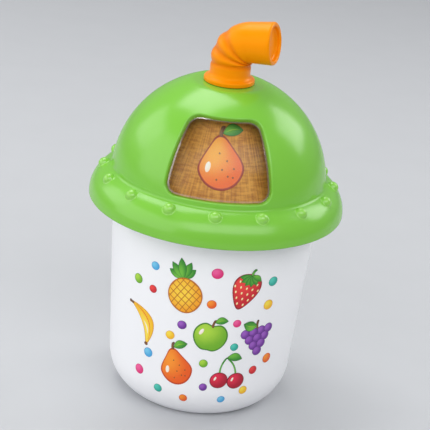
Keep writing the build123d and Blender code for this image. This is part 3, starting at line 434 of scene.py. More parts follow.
# Painted highlight: the bumps are the lid's own moulding, given a lighter green than the lid.
bump_highlit_light, bump_highlit_deep = (0.270, 0.640, 0.075, 1.0), (0.250, 0.610, 0.068, 1.0)
cup_light, cup_deep = (0.955, 0.955, 0.975, 1.0), (0.938, 0.940, 0.965, 1.0)
inner_light, inner_deep = tint(236, 234, 228), tint(222, 220, 214)
switch_light, switch_deep = tint(98, 102, 108), tint(82, 86, 92)
lid_gloss = {"Specular_IOR_Level": 0.6}
bump_gloss = {"Specular_IOR_Level": 0.8}
lid_plastic = moulded_plastic("lid_plastic", lid_light, lid_deep, 0.23, SOFT_GRAIN, **lid_gloss)
bump_highlit_plastic = moulded_plastic("bump_highlit_plastic", bump_highlit_light, bump_highlit_deep, 0.16, SOFT_GRAIN, **bump_gloss)
straw_plastic = groove_shaded_plastic("straw_plastic")
cup_plastic = moulded_plastic("cup_plastic", cup_light, cup_deep, 0.30, SOFT_GRAIN)
base_plastic = moulded_plastic("base_plastic", tint(232, 232, 235), tint(222, 222, 226), 0.5, MATT_GRAIN)
inner_plastic = moulded_plastic("inner_plastic", inner_light, inner_deep, 0.52, (1800.0, 0.00002))
bush_plastic = moulded_plastic("bush_plastic", tint(238, 230, 208), tint(222, 212, 188), 0.42, FINE_GRAIN)
switch_plastic = moulded_plastic("switch_plastic", switch_light, switch_deep, 0.46, (2600.0, 0.00003))
dark_plastic = moulded_plastic("dark_plastic", tint(46, 46, 50), tint(34, 34, 38), 0.5, MATT_GRAIN)
chip_plastic = moulded_plastic("chip_plastic", tint(30, 30, 33), tint(20, 20, 22), 0.55, (3200.0, 0.00002))
lead_plastic = moulded_plastic("lead_plastic", tint(196, 30, 28), tint(170, 22, 22), 0.4, FINE_GRAIN)
screw_zinc = bare_metal("screw_zinc", (0.62, 0.62, 0.60, 1.0), (0.48, 0.48, 0.47, 1.0), 0.34, 1.0)
spring_steel = bare_metal("spring_steel", (0.66, 0.66, 0.66, 1.0), (0.54, 0.54, 0.55, 1.0), 0.28, 8.0)
contact_nickel = bare_metal("contact_nickel", (0.70, 0.67, 0.60, 1.0), (0.60, 0.57, 0.50, 1.0), 0.26, 6.0)
magnet_iron = bare_metal("magnet_iron", (0.36, 0.36, 0.37, 1.0), (0.26, 0.26, 0.27, 1.0), 0.42, 1.0)
basket_steel = bare_metal("basket_steel", (0.46, 0.46, 0.47, 1.0), (0.38, 0.38, 0.39, 1.0), 0.40, 3.0)
cell_print = battery_jacket()
board_mask = circuit_board()
cone_paper = speaker_paper()
card_print = picture_card()
lens_plastic = clear_plastic("lens_plastic", 0.22, 0.36)
lens_edge = clear_plastic("lens_edge", 0.12, 6.0)
led_plastic = clear_plastic("led_plastic", 0.12, 2.2)

material_nodes = (
    (lid_plastic, "lid_shell"),
    (straw_plastic, "straw"),
    (lens_plastic, "window_lens"),
    (card_print, "picture_band"),
    (cup_plastic, "cup_shell"),
    (base_plastic, "base_cover battery_door"),
    (inner_plastic, "drum_deck picture_drum speaker_clamp detent_wheel"),
    (bush_plastic, "top_bush deck_bush"),
    (switch_plastic, "switch_slider"),
    (dark_plastic, "switch_body"),
    (chip_plastic, "board_chips"),
    (lead_plastic, "speaker_leads encoder_leads"),
    (screw_zinc, "base_screws door_screw board_screws speaker_screws"),
    (screw_zinc, "deck_screws encoder_screws leaf_screw drum_screw"),
    (spring_steel, "detent_leaf retaining_clip encoder_wiper"),
    (contact_nickel, "battery_contacts"),
    (magnet_iron, "speaker_magnet"),
    (basket_steel, "speaker_basket"),
    (cell_print, "battery_cells"),
    (board_mask, "main_board encoder_board"),
    (cone_paper, "speaker_cone"),
    (led_plastic, "light_leds"),
)
for node_material, node_names in material_nodes:
    for node_name in node_names.split():
        node_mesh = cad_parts[node_name].data
        node_mesh.materials.clear()
        node_mesh.materials.append(node_material)


def grid_faces(rows, columns, closed_columns):
    """Quads of a grid of points, numbered row by row, that may close on itself along its rows."""
    index = np.arange(rows * columns).reshape(rows, columns)
    if closed_columns:
        index = np.concatenate([index, index[:, :1]], axis=1)
    corners = (index[:-1, :-1], index[:-1, 1:], index[1:, 1:], index[1:, :-1])
    return np.stack(corners, axis=-1).reshape(-1, 4)


def pole_faces(row_start, columns, pole, flip):
    """Triangles from a closed row of points to one point."""
    row = row_start + np.arange(columns)
    after = row_start + (np.arange(columns) + 1) % columns
    ends = (after, row) if flip else (row, after)
    return np.stack([*ends, np.full(columns, pole)], axis=-1)


def closed_faces(rows, columns):
    """Faces of closed rows of points with a first and a last pole, numbered after the rows."""
    total = rows * columns
    faces = grid_faces(rows, columns, True).tolist()
    faces += pole_faces(0, columns, total, True).tolist()
    faces += pole_faces(total - columns, columns, total + 1, False).tolist()
    return faces


def make_piece(name, points, faces, materials):
    """Smooth mesh object at the origin."""
    mesh = bpy.data.meshes.new(name)
    mesh.from_pydata(points.reshape(-1, 3).tolist(), [], faces)
    for material in materials:
        mesh.materials.append(material)
    mesh.shade_smooth()
    made = bpy.data.objects.new(name, mesh)
    scene.collection.objects.link(made)
    return made


def closed_surface(name, rows, first_pole, last_pole, material):
    """Piece from closed rows of points, (rows, columns, 3), with a point at either end."""
    points = np.concatenate([rows.reshape(-1, 3), [first_pole, last_pole]])
    return make_piece(name, points, closed_faces(*rows.shape[:2]), [material])


def line_points(start, end, count):
    """Evenly spaced points from start up to end, without end."""
    share = np.linspace(0.0, 1.0, count, endpoint=False)[:, None]
    return np.array(start) + share * (np.array(end) - np.array(start))


def arc_points(centre, radius, start, end, count):
    """Points on a circle from one angle up to another, without the last."""
    turn = np.linspace(start, end, count, endpoint=False)[:, None]
    return np.array(centre) + radius * np.concatenate([np.cos(turn), np.sin(turn)], axis=1)


def smooth_step(value, low, high):
    """0 below low, 1 above high and smooth between."""
    share = np.clip((value - low) / (high - low), 0.0, 1.0)
    return share**2 * (3 - 2 * share)


def straw_profile():
    """Radius, distance along and crease of the straw, from its key's foot, over its skin, into its mouth.
    The crease is the grooves' depth and weights the painted shade in the grooves.

    The collar's crown and flare are two arcs that meet at one slope. Along the bend the radius is the
    straw's, plus a low crest over the ribs, less a bell-shaped groove on either side of each rib.
    """
    step_in = COLLAR_RADIUS - STRAW_RADIUS
    crown_low = SEAT_GAP + COLLAR_HEIGHT
    turn = np.arccos(1 - step_in / (COLLAR_CROWN + COLLAR_FLARE))
    crown_centre = (COLLAR_RADIUS - COLLAR_CROWN, crown_low)
    reach = (COLLAR_CROWN + COLLAR_FLARE) * np.sin(turn)
    flare_centre = (STRAW_RADIUS + COLLAR_FLARE, crown_low + reach)
    edge_low = SEAT_GAP + COLLAR_EDGE
    bend_low = GROOVE_ANGLES[0] - 3 * GROOVE_WIDTH
    bend_start = STRAW_RISE + BEND_RADIUS * bend_low
    lower = [
        line_points((POLE_GAP, -KEY_DEPTH), (KEY_RADIUS, -KEY_DEPTH), 4),
        line_points((KEY_RADIUS, -KEY_DEPTH), (KEY_RADIUS, -SPIGOT_DEPTH), 6),
        line_points((KEY_RADIUS, -SPIGOT_DEPTH), (SPIGOT_RADIUS, -SPIGOT_DEPTH), 3),
        line_points((SPIGOT_RADIUS, -SPIGOT_DEPTH), (SPIGOT_RADIUS, SEAT_GAP), 6),
        line_points((SPIGOT_RADIUS, SEAT_GAP), (COLLAR_RADIUS - COLLAR_EDGE, SEAT_GAP), 6),
        arc_points((COLLAR_RADIUS - COLLAR_EDGE, edge_low), COLLAR_EDGE, -pi / 2, 0.0, 5),
        line_points((COLLAR_RADIUS, edge_low), (COLLAR_RADIUS, crown_low), 4),
        arc_points(crown_centre, COLLAR_CROWN, 0.0, turn, 8),
        arc_points(flare_centre, COLLAR_FLARE, pi + turn, pi, 10),
        line_points((STRAW_RADIUS, crown_low + reach), (STRAW_RADIUS, bend_start), 3),
    ]
    angle = np.linspace(bend_low, BEND_ANGLE, BEND_ROWS, endpoint=False)
    crest = smooth_step(angle, GROOVE_ANGLES[0] - RIB_FADE, GROOVE_ANGLES[0])
    crest = crest * (1 - smooth_step(angle, GROOVE_ANGLES[-1], GROOVE_ANGLES[-1] + RIB_FADE))
    dips = np.exp(-(((angle[:, None] - GROOVE_ANGLES) / GROOVE_WIDTH) ** 2)).sum(axis=1)
    skin = STRAW_RADIUS + RIB_CREST * crest - GROOVE_DEPTH * dips
    bend = np.stack([skin, STRAW_RISE + BEND_RADIUS * angle, dips], axis=-1)
    end = STRAW_RISE + BEND_RADIUS * BEND_ANGLE
    tip = end + END_LENGTH
    floor = tip - MOUTH_DEPTH
    upper = [
        line_points((STRAW_RADIUS, end), (END_RADIUS, tip - END_ROUND), 16),
        arc_points((END_RADIUS - END_ROUND, tip - END_ROUND), END_ROUND, 0.0, pi / 2, 10),
        line_points((END_RADIUS - END_ROUND, tip), (MOUTH_RADIUS + MOUTH_ROUND, tip), 3),
        arc_points((MOUTH_RADIUS + MOUTH_ROUND, tip - MOUTH_ROUND), MOUTH_ROUND, pi / 2, pi, 6),
        line_points((MOUTH_RADIUS, tip - MOUTH_ROUND), (MOUTH_RADIUS, floor + MOUTH_ROUND), 6),
        arc_points((MOUTH_RADIUS - MOUTH_ROUND, floor + MOUTH_ROUND), MOUTH_ROUND, 0.0, -pi / 2, 6),
        line_points((MOUTH_RADIUS - MOUTH_ROUND, floor), (POLE_GAP, floor), 6),
    ]
    lower, upper = (np.pad(np.concatenate(part), ((0, 0), (0, 1))) for part in (lower, upper))
    return np.concatenate([lower, bend, upper])


def straw_points(radius, distance, turn):
    """A circle of the radius about the straw's axis, which rises, bends in an arc and runs straight out."""
    bent = np.clip((distance - STRAW_RISE) / BEND_RADIUS, 0.0, BEND_ANGLE)
    run = np.maximum(distance - STRAW_RISE - BEND_RADIUS * BEND_ANGLE, 0.0)
    across = BEND_RADIUS * (1 - np.cos(bent)) + run * np.sin(bent) + radius * np.cos(turn) * np.cos(bent)
    up = SEAT_Z + np.minimum(distance, STRAW_RISE) + BEND_RADIUS * np.sin(bent) + run * np.cos(bent)
    up = up - radius * np.cos(turn) * np.sin(bent)
    side = radius * np.sin(turn)
    x = across * cos(STRAW_AZIMUTH) - side * sin(STRAW_AZIMUTH)
    y = across * sin(STRAW_AZIMUTH) + side * cos(STRAW_AZIMUTH)
    return np.stack([x, y, up + np.zeros_like(turn)], axis=-1)


def make_straw():
    """The straw's profile carried round its axis."""
    profile = straw_profile()
    turn = np.linspace(0.0, 2 * pi, STRAW_COLUMNS, endpoint=False)[None, :]
    rows = straw_points(profile[:, :1], profile[:, 1:2], turn)
    ends = straw_points(np.zeros((2, 1)), profile[[0, -1], 1:2], np.zeros((1, 1)))[:, 0]
    made = closed_surface("ribbed_straw", rows, ends[0], ends[1], straw_plastic)
    # Groove depth at each point, which the straw's material reads to paint shade into the grooves.
    crease = np.concatenate([np.repeat(profile[:, 2], turn.size), np.zeros(2)])
    made.data.attributes.new("crease", "FLOAT", "POINT").data.foreach_set("value", crease)
    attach(made, "spinner")
    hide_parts("straw")


make_straw()


def window_outline(inset):
    """Azimuth and elevation along the window's rounded edge, drawn in by an inset.

    The edge is a rectangle in azimuth and elevation on the dome, with each corner a quarter of an
    ellipse that is as wide as the corner radius measures there.
    """
    tall = inset / DOME_RADIUS
    round_tall = (WINDOW_CORNER - inset) / DOME_RADIUS
    quarter = np.linspace(0.0, pi / 2, CORNER_POINTS)
    corners = []
    for start, level, side, end in (
        (-pi / 2, WINDOW_LOW_ANGLE, 1, -1),
        (0.0, WINDOW_HIGH_ANGLE, 1, 1),
        (pi / 2, WINDOW_HIGH_ANGLE, -1, 1),
        (pi, WINDOW_LOW_ANGLE, -1, -1),
    ):
        round_wide = round_tall / np.cos(level)
        middle = side * (WINDOW_HALF_ANGLE - tall / np.cos(level) - round_wide)
        azimuth = middle + round_wide * np.cos(start + quarter)
        elevation = level - end * (tall + round_tall) + round_tall * np.sin(start + quarter)
        corners.append(np.stack([azimuth, elevation], axis=-1))
    loop = np.concatenate(corners)
    ring = np.concatenate([loop, loop[:1]])
    length = np.concatenate([[0.0], np.cumsum(np.hypot(*np.diff(ring, axis=0).T))])
    even = np.linspace(0.0, length[-1], OUTLINE_POINTS, endpoint=False)
    return np.stack([np.interp(even, length, ring[:, k]) for k in range(2)], axis=-1)


def dome_points(radius, azimuth, elevation):
    """A sphere about the dome's centre, with azimuth measured from the front."""
    level = radius * np.cos(elevation)
    x = level * np.sin(azimuth)
    y = -level * np.cos(azimuth)
    return np.stack([x, y, DOME_Z + radius * np.sin(elevation)], axis=-1)


def make_lens():
    """The clear window, as outlines on spheres about the dome's centre.

    From its middle: a skin, its rounded edge, a wall, a flange behind the dome and an inner skin.
    """
    centre = np.array([0.0, (WINDOW_LOW_ANGLE + WINDOW_HIGH_ANGLE) / 2])
    flat_edge = window_outline(LENS_CLEARANCE + LENS_EDGE_ROUND)
    wall_edge = window_outline(LENS_CLEARANCE)
    flange_edge = window_outline(-FLANGE_WIDTH)
    shares = np.linspace(0.04, 0.97, LENS_ROWS)
    rolls = np.linspace(0.0, pi / 2, LENS_ROLL_ROWS)
    outlines = [(LENS_RADIUS, centre + share * (flat_edge - centre)) for share in shares]
    for roll in rolls:
        outline = window_outline(LENS_CLEARANCE + LENS_EDGE_ROUND * (1 - np.sin(roll)))
        outlines.append((LENS_RADIUS - LENS_EDGE_ROUND * (1 - np.cos(roll)), outline))
    outlines += [(FLANGE_RADIUS, wall_edge), (FLANGE_RADIUS, flange_edge), (LENS_INNER_RADIUS, flange_edge)]
    outlines += [(LENS_INNER_RADIUS, centre + share * (flange_edge - centre)) for share in shares[::-1]]
    rows = np.array([dome_points(radius, *outline[::-1].T) for radius, outline in outlines])
    ends = dome_points(np.array([LENS_RADIUS, LENS_INNER_RADIUS]), centre[:1], centre[1:])
    made = closed_surface("clear_window", rows, ends[0], ends[1], lens_plastic)
    made.data.materials.append(lens_edge)
    on_edge = np.zeros(len(made.data.polygons), dtype=np.int32)
    on_edge[(len(shares) - 1) * rows.shape[1] : (len(shares) + len(rolls) - 2) * rows.shape[1]] = 1
    made.data.polygons.foreach_set("material_index", on_edge)
    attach(made, "shell")
    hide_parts("window_lens")


make_lens()


def rim_profile():
    """Radius and height round the rim's skin: lip, roll, crease, the dome's foot and back inside the wall.

    The crease is an arc of radius c that touches roll and dome: its centre is R + c from the roll's
    centre and D + c from the dome's.
    """
    roll = RIM_ROLL_RADIUS + SKIN_LIFT
    dome = DOME_RADIUS + SKIN_LIFT
    roll_centre = np.array([RIM_ROLL_RING, RIM_ROLL_Z])
    dome_centre = np.array([0.0, DOME_Z])
    gap = np.hypot(*(roll_centre - dome_centre))
    toward = (roll_centre - dome_centre) / gap
    along = ((dome + CREASE_ROUND) ** 2 - (roll + CREASE_ROUND) ** 2 + gap**2) / (2 * gap)
    aside = np.sqrt((dome + CREASE_ROUND) ** 2 - along**2)
    crease = dome_centre + along * toward + aside * np.array([-toward[1], toward[0]])
    roll_turn = np.arctan2(*(crease - roll_centre)[::-1])
    dome_turn = np.arctan2(*(crease - dome_centre)[::-1])
    lip = RIM_ROLL_RING + RIM_ROLL_RADIUS
    lip_centre = (lip - LIP_ROUND, LIP_Z + LIP_ROUND)
    share = np.linspace(0.0, 1.0, 7)[:, None]
    foot_turn = dome_turn + share * SKIN_EDGE / DOME_RADIUS
    foot_radius = dome - (SKIN_LIFT + SKIN_SINK) * share**2
    inner_roll = RIM_ROLL_RADIUS - SKIN_DEPTH
    inner_dome = DOME_RADIUS - SKIN_DEPTH
    loop = [
        arc_points(lip_centre, LIP_ROUND + SKIN_LIFT, -pi / 2, 0.0, 10),
        line_points((lip + SKIN_LIFT, LIP_Z + LIP_ROUND), (lip + SKIN_LIFT, RIM_ROLL_Z), 2),
        arc_points(roll_centre, roll, 0.0, roll_turn, 44),
        arc_points(crease, CREASE_ROUND, roll_turn + pi, dome_turn + pi, 12),
        dome_centre + foot_radius * np.concatenate([np.cos(foot_turn), np.sin(foot_turn)], axis=1),
        arc_points(dome_centre, inner_dome, foot_turn[-1, 0], dome_turn, 2),
        arc_points(roll_centre, inner_roll, roll_turn, 0.0, 10),
        line_points((lip - SKIN_DEPTH, RIM_ROLL_Z), lip_centre, 2),
    ]
    loop = np.concatenate(loop)
    loop[:, 0] = np.minimum(loop[:, 0], RIM_REACH)
    return loop


def make_rim_roll():
    """The rim's profile carried round the lid as a closed ring."""
    profile = rim_profile()
    turn = np.linspace(0.0, 2 * pi, RIM_COLUMNS, endpoint=False)
    reach = profile[:, :1]
    points = np.stack([reach * np.sin(turn), -reach * np.cos(turn), profile[:, 1:] + 0 * turn], axis=-1)
    faces = grid_faces(len(profile) + 1, turn.size, True) % (len(profile) * turn.size)
    made = make_piece("rim_roll", points, faces.tolist(), [lid_plastic])
    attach(made, "shell")


make_rim_roll()


def rim_points(along, upward, lift):
    """The lid's rolled rim about a bump's place, by arc lengths along and up it, raised by a lift.

    A torus: angle up the roll t = t0 + upward / R, and turn = along / (ring + R cos t0).
    """
    turn = along / (RIM_ROLL_RING + RIM_ROLL_RADIUS * cos(BUMP_TILT))
    tilt = BUMP_TILT + upward / RIM_ROLL_RADIUS
    reach = RIM_ROLL_RING + (RIM_ROLL_RADIUS + lift) * np.cos(tilt)
    height = RIM_ROLL_Z + (RIM_ROLL_RADIUS + lift) * np.sin(tilt)
    return np.stack([reach * np.sin(turn), -reach * np.cos(turn), height], axis=-1)


def make_rim_bumps():
    """Soft bumps round the rim: a ball's cap of radius R that flows into the rim by a hollow foot.

    The cap stands on a centre sunk by R - rise. The foot is an arc of radius f that touches both:
    its centre is D = sqrt((R + f)^2 - (f + R - rise)^2) away from the bump's middle.
    """
    depth = BUMP_RADIUS - BUMP_RISE
    foot = np.sqrt((BUMP_RADIUS + BUMP_FOOT) ** 2 - (BUMP_FOOT + depth) ** 2)
    meet = foot * BUMP_RADIUS / (BUMP_RADIUS + BUMP_FOOT)
    on_cap = np.linspace(0.1, 0.94, 12) * meet
    on_foot = np.linspace(meet, foot, 12)
    out = np.concatenate([on_cap, on_foot, [foot + BUMP_EDGE]])
    cap = np.sqrt(np.maximum(BUMP_RADIUS**2 - out**2, 0.0)) - depth
    hollow = BUMP_FOOT - np.sqrt(np.maximum(BUMP_FOOT**2 - np.maximum(foot - out, 0.0) ** 2, 0.0))
    lift = np.where(out < meet, cap, hollow)
    lift[-1] = -BUMP_SINK
    radius = np.concatenate([[foot / 2, foot + BUMP_EDGE], out[::-1]])
    lift = np.concatenate([[-2 * BUMP_SINK, -2 * BUMP_SINK], lift[::-1]])
    turn = np.linspace(0.0, 2 * pi, BUMP_COLUMNS, endpoint=False)
    rows = rim_points(radius[:, None] * np.cos(turn), radius[:, None] * np.sin(turn), lift[:, None])
    poles = rim_points(np.zeros(2), np.zeros(2), np.array([-2 * BUMP_SINK, BUMP_RISE]))
    one = np.concatenate([rows.reshape(-1, 3), poles])
    shape = closed_faces(*rows.shape[:2])
    points = []
    faces = []
    for number in range(BUMP_COUNT):
        angle = number * 2 * pi / BUMP_COUNT
        spin = np.array([[cos(angle), sin(angle), 0.0], [-sin(angle), cos(angle), 0.0], [0.0, 0.0, 1.0]])
        points.append(one @ spin)
        faces += [[corner + number * len(one) for corner in face] for face in shape]
    # The bumps wear the lighter green, a painted highlight.
    made = make_piece("rim_bumps", np.concatenate(points), faces, [bump_highlit_plastic])
    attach(made, "shell")


make_rim_bumps()


def cup_surface(along, height, lift):
    """The cup's skin by arc length round it and height, raised by a lift: a bowl's arc below a cone."""
    drop = np.clip((BOWL_Z - height) / BOWL_RADIUS, 0.0, 0.999)
    wall = WALL_LOW_RADIUS + (height - WALL_LOW_Z) * WALL_SLOPE
    bowl = BOWL_RING + BOWL_RADIUS * np.sqrt(1 - drop**2)
    reach = np.where(height > WALL_LOW_Z, wall, bowl)
    turn = along / (WALL_LOW_RADIUS + (MID_HEIGHT - WALL_LOW_Z) * WALL_SLOPE)
    return np.stack([(reach + lift) * np.sin(turn), -(reach + lift) * np.cos(turn), height], axis=-1)


def picture_surface(middle):
    """The picture band by lengths along and up its flat pattern, about a middle azimuth.

    A cone of half angle a unrolls to a sector: a point (u, v) lies at l = sqrt((l0 - v)^2 + u^2) from
    the tip, at azimuth atan2(u, l0 - v) / sin a.
    """
    fall = PICTURE_HIGH_Z - PICTURE_LOW_Z
    half_angle = np.arctan2(PICTURE_LOW_RADIUS - PICTURE_HIGH_RADIUS, fall)
    tip_z = PICTURE_LOW_Z + PICTURE_LOW_RADIUS / np.tan(half_angle)
    mid_length = (tip_z - PICTURE_MID_Z) / np.cos(half_angle)

    def surface(along, upward, lift):
        length = np.hypot(mid_length - upward, along)
        turn = middle + np.arctan2(along, mid_length - upward) / np.sin(half_angle)
        reach = length * np.sin(half_angle) + lift * np.cos(half_angle)
        height = tip_z - length * np.cos(half_angle) + lift * np.sin(half_angle)
        return np.stack([reach * np.sin(turn), -reach * np.cos(turn), height], axis=-1)

    return surface


class Print:
    """Thin closed patches of ink on a surface, joined into one piece.

    A patch is a unit disc, bent to its outline by a formula and laid on the surface: an underside just
    below it, an edge, and a top. Its UV map holds the disc.
    """

    under = np.array([0.5, 1.0])
    over = np.array([1.0, 0.985, 0.88, 0.74, 0.58, 0.40, 0.20])
    turns = np.linspace(0.0, 2 * pi, INK_COLUMNS, endpoint=False)

    def __init__(self, name):
        self.name = name
        self.points = []
        self.discs = []
        self.inks = []
        rows = np.concatenate([self.under, self.over])[:, None]
        poles = np.zeros((2, 1))
        self.disc_x = np.concatenate([(rows * np.cos(self.turns)).reshape(-1, 1), poles])[:, 0]
        self.disc_y = np.concatenate([(rows * np.sin(self.turns)).reshape(-1, 1), poles])[:, 0]
        on_top = np.repeat(np.arange(len(rows)) >= len(self.under), len(self.turns))
        self.on_top = np.concatenate([on_top, [False, True]])
        self.shape = closed_faces(len(rows), len(self.turns))

    def place(self, surface, centre=(0.0, 0.0), turn=0.0, size=1.0):
        """Where the next patches go: a surface, a centre on it in mm, a turn in degrees and a scale."""
        self.surface = surface
        self.centre = centre
        self.turn = radians(turn)
        self.size = size

    def lay(self, outline, ink, at=(0.0, 0.0), turn=0.0, layer=0.0):
        """One patch: outline(x, y) in mm, turned by degrees and moved, on a layer of ink."""
        u, v = outline(self.disc_x, self.disc_y)
        for angle, size, (du, dv) in ((radians(turn), 1.0, at), (self.turn, self.size, self.centre)):
            across, upward = u * cos(angle) - v * sin(angle), u * sin(angle) + v * cos(angle)
            u, v = size * across + du, size * upward + dv
        lift = np.where(self.on_top, INK_BASE + INK_STEP * layer, -INK_SINK)
        self.points.append(self.surface(u * MM, v * MM, lift))
        self.discs.append(np.stack([self.disc_x, self.disc_y], axis=-1) * 0.5 + 0.5)
        self.inks.append(ink)

    def finish(self, body):
        """Joins the patches into one object that rides on a body."""
        used = list(dict.fromkeys(self.inks))
        faces = []
        for number in range(len(self.points)):
            start = number * len(self.disc_x)
            faces += [[corner + start for corner in face] for face in self.shape]
        made = make_piece(self.name, np.concatenate(self.points), faces, used)
        numbers = np.repeat([used.index(ink) for ink in self.inks], len(self.shape))
        made.data.polygons.foreach_set("material_index", numbers.astype(np.int32))
        corners = np.zeros(len(made.data.loops), dtype=np.int32)
        made.data.loops.foreach_get("vertex_index", corners)
        spots = made.data.uv_layers.new(name=DISC_MAP)
        spots.data.foreach_set("uv", np.concatenate(self.discs)[corners].ravel())
        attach(made, body)


def oval(wide, tall):
    """Ellipse: u = w x and v = t y."""
    return lambda x, y: (wide * x, tall * y)


def leaf(length, wide, bend=0.0):
    """Pointed leaf from its stalk along +x: v = w y sqrt(1 - x^2), on a bowed rib."""
    return lambda x, y: (length * (x + 1) / 2, wide * y * np.sqrt(1 - x**2) + bend * (1 - x**2))


def stalk(length, wide, bend=0.0):
    """Bar with round ends from its foot along +x, bowed."""
    return lambda x, y: (length * (x + 1) / 2, wide * y * (1 + 1.2 * x**2) + bend * (1 - x**2))


def pear_outline(wide, tall):
    """Ellipse whose width falls by almost half, in a smooth step, up to its neck."""
    return lambda x, y: (wide * x * (1 - 0.46 * smooth_step(y, -0.3, 0.85)), tall * y)


def berry_outline(wide, tall):
    """Ellipse whose width grows with height, w x (0.80 + 0.30 y), with a longer tip."""
    return lambda x, y: (wide * x * (0.80 + 0.30 * y), tall * (y - 0.10 * (1 - x**2) * (y < 0) * y**2))


def apple_outline(wide, tall):
    """Ellipse less a bell-shaped dip at the stalk and a smaller one below."""

    def outline(x, y):
        top = 0.24 * np.exp(-((x / 0.30) ** 2)) * smooth_step(y, 0.0, 1.0)
        foot = 0.10 * np.exp(-((x / 0.28) ** 2)) * smooth_step(-y, 0.0, 1.0)
        return wide * x * (1 + 0.07 * y), tall * (y - top + foot)

    return outline


def banana_outline(length, thick, bow):
    """Bar that thins with x^2 to its ends, on a bow that rises with x^2."""
    return lambda x, y: (length * x, thick * y * (1 - 0.25 * x**2) + bow * x**2)


# Inks
ink_red = printed_ink("ink_red", tint(244, 62, 58), tint(206, 22, 40), tint(150, 12, 30))
ink_crimson = printed_ink("ink_crimson", tint(232, 34, 72), tint(176, 8, 44), tint(116, 4, 30))
ink_orange = printed_ink("ink_orange", tint(255, 150, 34), tint(240, 92, 8), tint(198, 62, 4))
ink_golden = printed_ink("ink_golden", tint(255, 176, 48), tint(246, 104, 10), tint(158, 44, 14))
ink_yellow = printed_ink("ink_yellow", tint(255, 226, 70), tint(250, 188, 16), tint(214, 140, 6))
ink_lime = printed_ink("ink_lime", tint(176, 220, 62), tint(112, 180, 30), tint(62, 128, 18))
ink_leaf = printed_ink("ink_leaf", tint(110, 190, 58), tint(48, 140, 40), tint(22, 92, 30))
ink_purple = printed_ink("ink_purple", tint(158, 90, 196), tint(108, 40, 150), tint(68, 18, 104))
ink_plum = printed_ink("ink_plum", tint(140, 70, 160), tint(84, 26, 110), tint(52, 10, 74))
ink_pink = printed_ink("ink_pink", tint(246, 92, 158), tint(228, 40, 120), tint(200, 24, 98))
ink_blue = printed_ink("ink_blue", tint(120, 204, 240), tint(70, 168, 224), tint(44, 136, 200))
ink_teal = printed_ink("ink_teal", tint(80, 206, 186), tint(30, 170, 152), tint(14, 138, 124))
ink_brown = printed_ink("ink_brown", tint(140, 92, 48), tint(100, 60, 28), tint(76, 44, 20))
ink_cream = printed_ink("ink_cream", tint(255, 246, 206), tint(252, 228, 150), tint(240, 204, 110))
ink_gloss = printed_ink("ink_gloss", tint(255, 250, 240), tint(255, 238, 214), tint(255, 232, 204))
ink_lattice = lattice_ink("ink_lattice", tint(255, 214, 62), tint(246, 164, 20), tint(192, 104, 14))


def draw_pear(sheet, ink):
    """A pear with a stalk, a leaf and its rib, a glint and freckles."""
    sheet.lay(pear_outline(8.6, 10.2), ink)
    sheet.lay(stalk(4.2, 0.62, 0.5), ink_brown, (0.3, 9.4), 74.0, 1.0)
    sheet.lay(leaf(7.6, 2.3, 0.7), ink_leaf, (0.8, 10.6), 12.0, 2.0)
    sheet.lay(leaf(6.4, 0.22, 0.7), ink_lime, (1.4, 10.75), 12.0, 3.0)
    sheet.lay(oval(0.95, 2.0), ink_gloss, (-4.6, -1.4), -14.0, 1.0)
    for spot in ((2.4, -5.0), (4.6, -2.2), (0.4, -2.6), (-1.6, -6.2), (2.2, 0.6), (-0.4, 3.4), (4.2, -5.4)):
        sheet.lay(oval(0.28, 0.36), ink_brown, spot, 0.0, 1.0)


def draw_strawberry(sheet):
    """A strawberry with rows of seeds, a fan of leaves and a stalk."""
    sheet.lay(berry_outline(8.6, 9.4), ink_red)
    for row, count in enumerate((4, 5, 4, 3, 2)):
        for number in range(count):
            across = (number - (count - 1) / 2) * 3.1
            sheet.lay(oval(0.42, 0.72), ink_cream, (across, 4.3 - 2.9 * row), -9.0 * across / 3.1, 1.0)
    for number in range(6):
        angle = 200.0 + 28.0 * number
        sheet.lay(leaf(6.2, 1.5, 0.4), ink_leaf, (0.0, 8.6), angle, 2.0 + 0.4 * number)
    sheet.lay(stalk(4.0, 0.55, 0.5), ink_leaf, (0.0, 8.4), 78.0, 5.0)


def draw_banana(sheet):
    """A banana with a ridge, two brown ends and a glint."""
    sheet.lay(banana_outline(10.6, 3.3, 5.6), ink_yellow)
    sheet.lay(banana_outline(8.8, 0.24, 4.2), ink_orange, (0.0, -0.7), 0.0, 1.0)
    sheet.lay(oval(1.0, 0.85), ink_brown, (-10.3, 5.5), 40.0, 1.0)
    sheet.lay(stalk(3.0, 0.62, 0.0), ink_brown, (9.5, 4.9), 52.0, 1.0)
    sheet.lay(banana_outline(3.4, 0.34, 0.8), ink_gloss, (-2.6, 1.5), -4.0, 1.0)


def draw_apple(sheet, ink):
    """An apple with a stalk, a leaf and its rib, and a glint."""
    sheet.lay(apple_outline(8.6, 8.4), ink)
    sheet.lay(stalk(4.6, 0.55, 0.5), ink_brown, (0.0, 5.2), 80.0, 1.0)
    sheet.lay(leaf(6.6, 2.0, 0.7), ink_leaf, (0.4, 8.2), 18.0, 2.0)
    sheet.lay(leaf(5.6, 0.2, 0.7), ink_lime, (0.9, 8.35), 18.0, 3.0)
    sheet.lay(oval(0.9, 1.9), ink_gloss, (-4.9, 2.0), -20.0, 1.0)


def draw_plum(sheet):
    """A plum with a seam, a stalk, a leaf and a glint."""
    sheet.lay(oval(7.4, 8.4), ink_plum)
    sheet.lay(leaf(14.0, 0.34, 1.7), ink_purple, (0.4, 7.2), 267.0, 1.0)
    sheet.lay(stalk(3.8, 0.5, 0.4), ink_brown, (0.1, 7.6), 76.0, 1.0)
    sheet.lay(leaf(6.8, 2.1, 0.7), ink_leaf, (0.5, 9.0), 10.0, 2.0)
    sheet.lay(oval(0.85, 1.9), ink_gloss, (-4.4, 1.6), -16.0, 1.0)


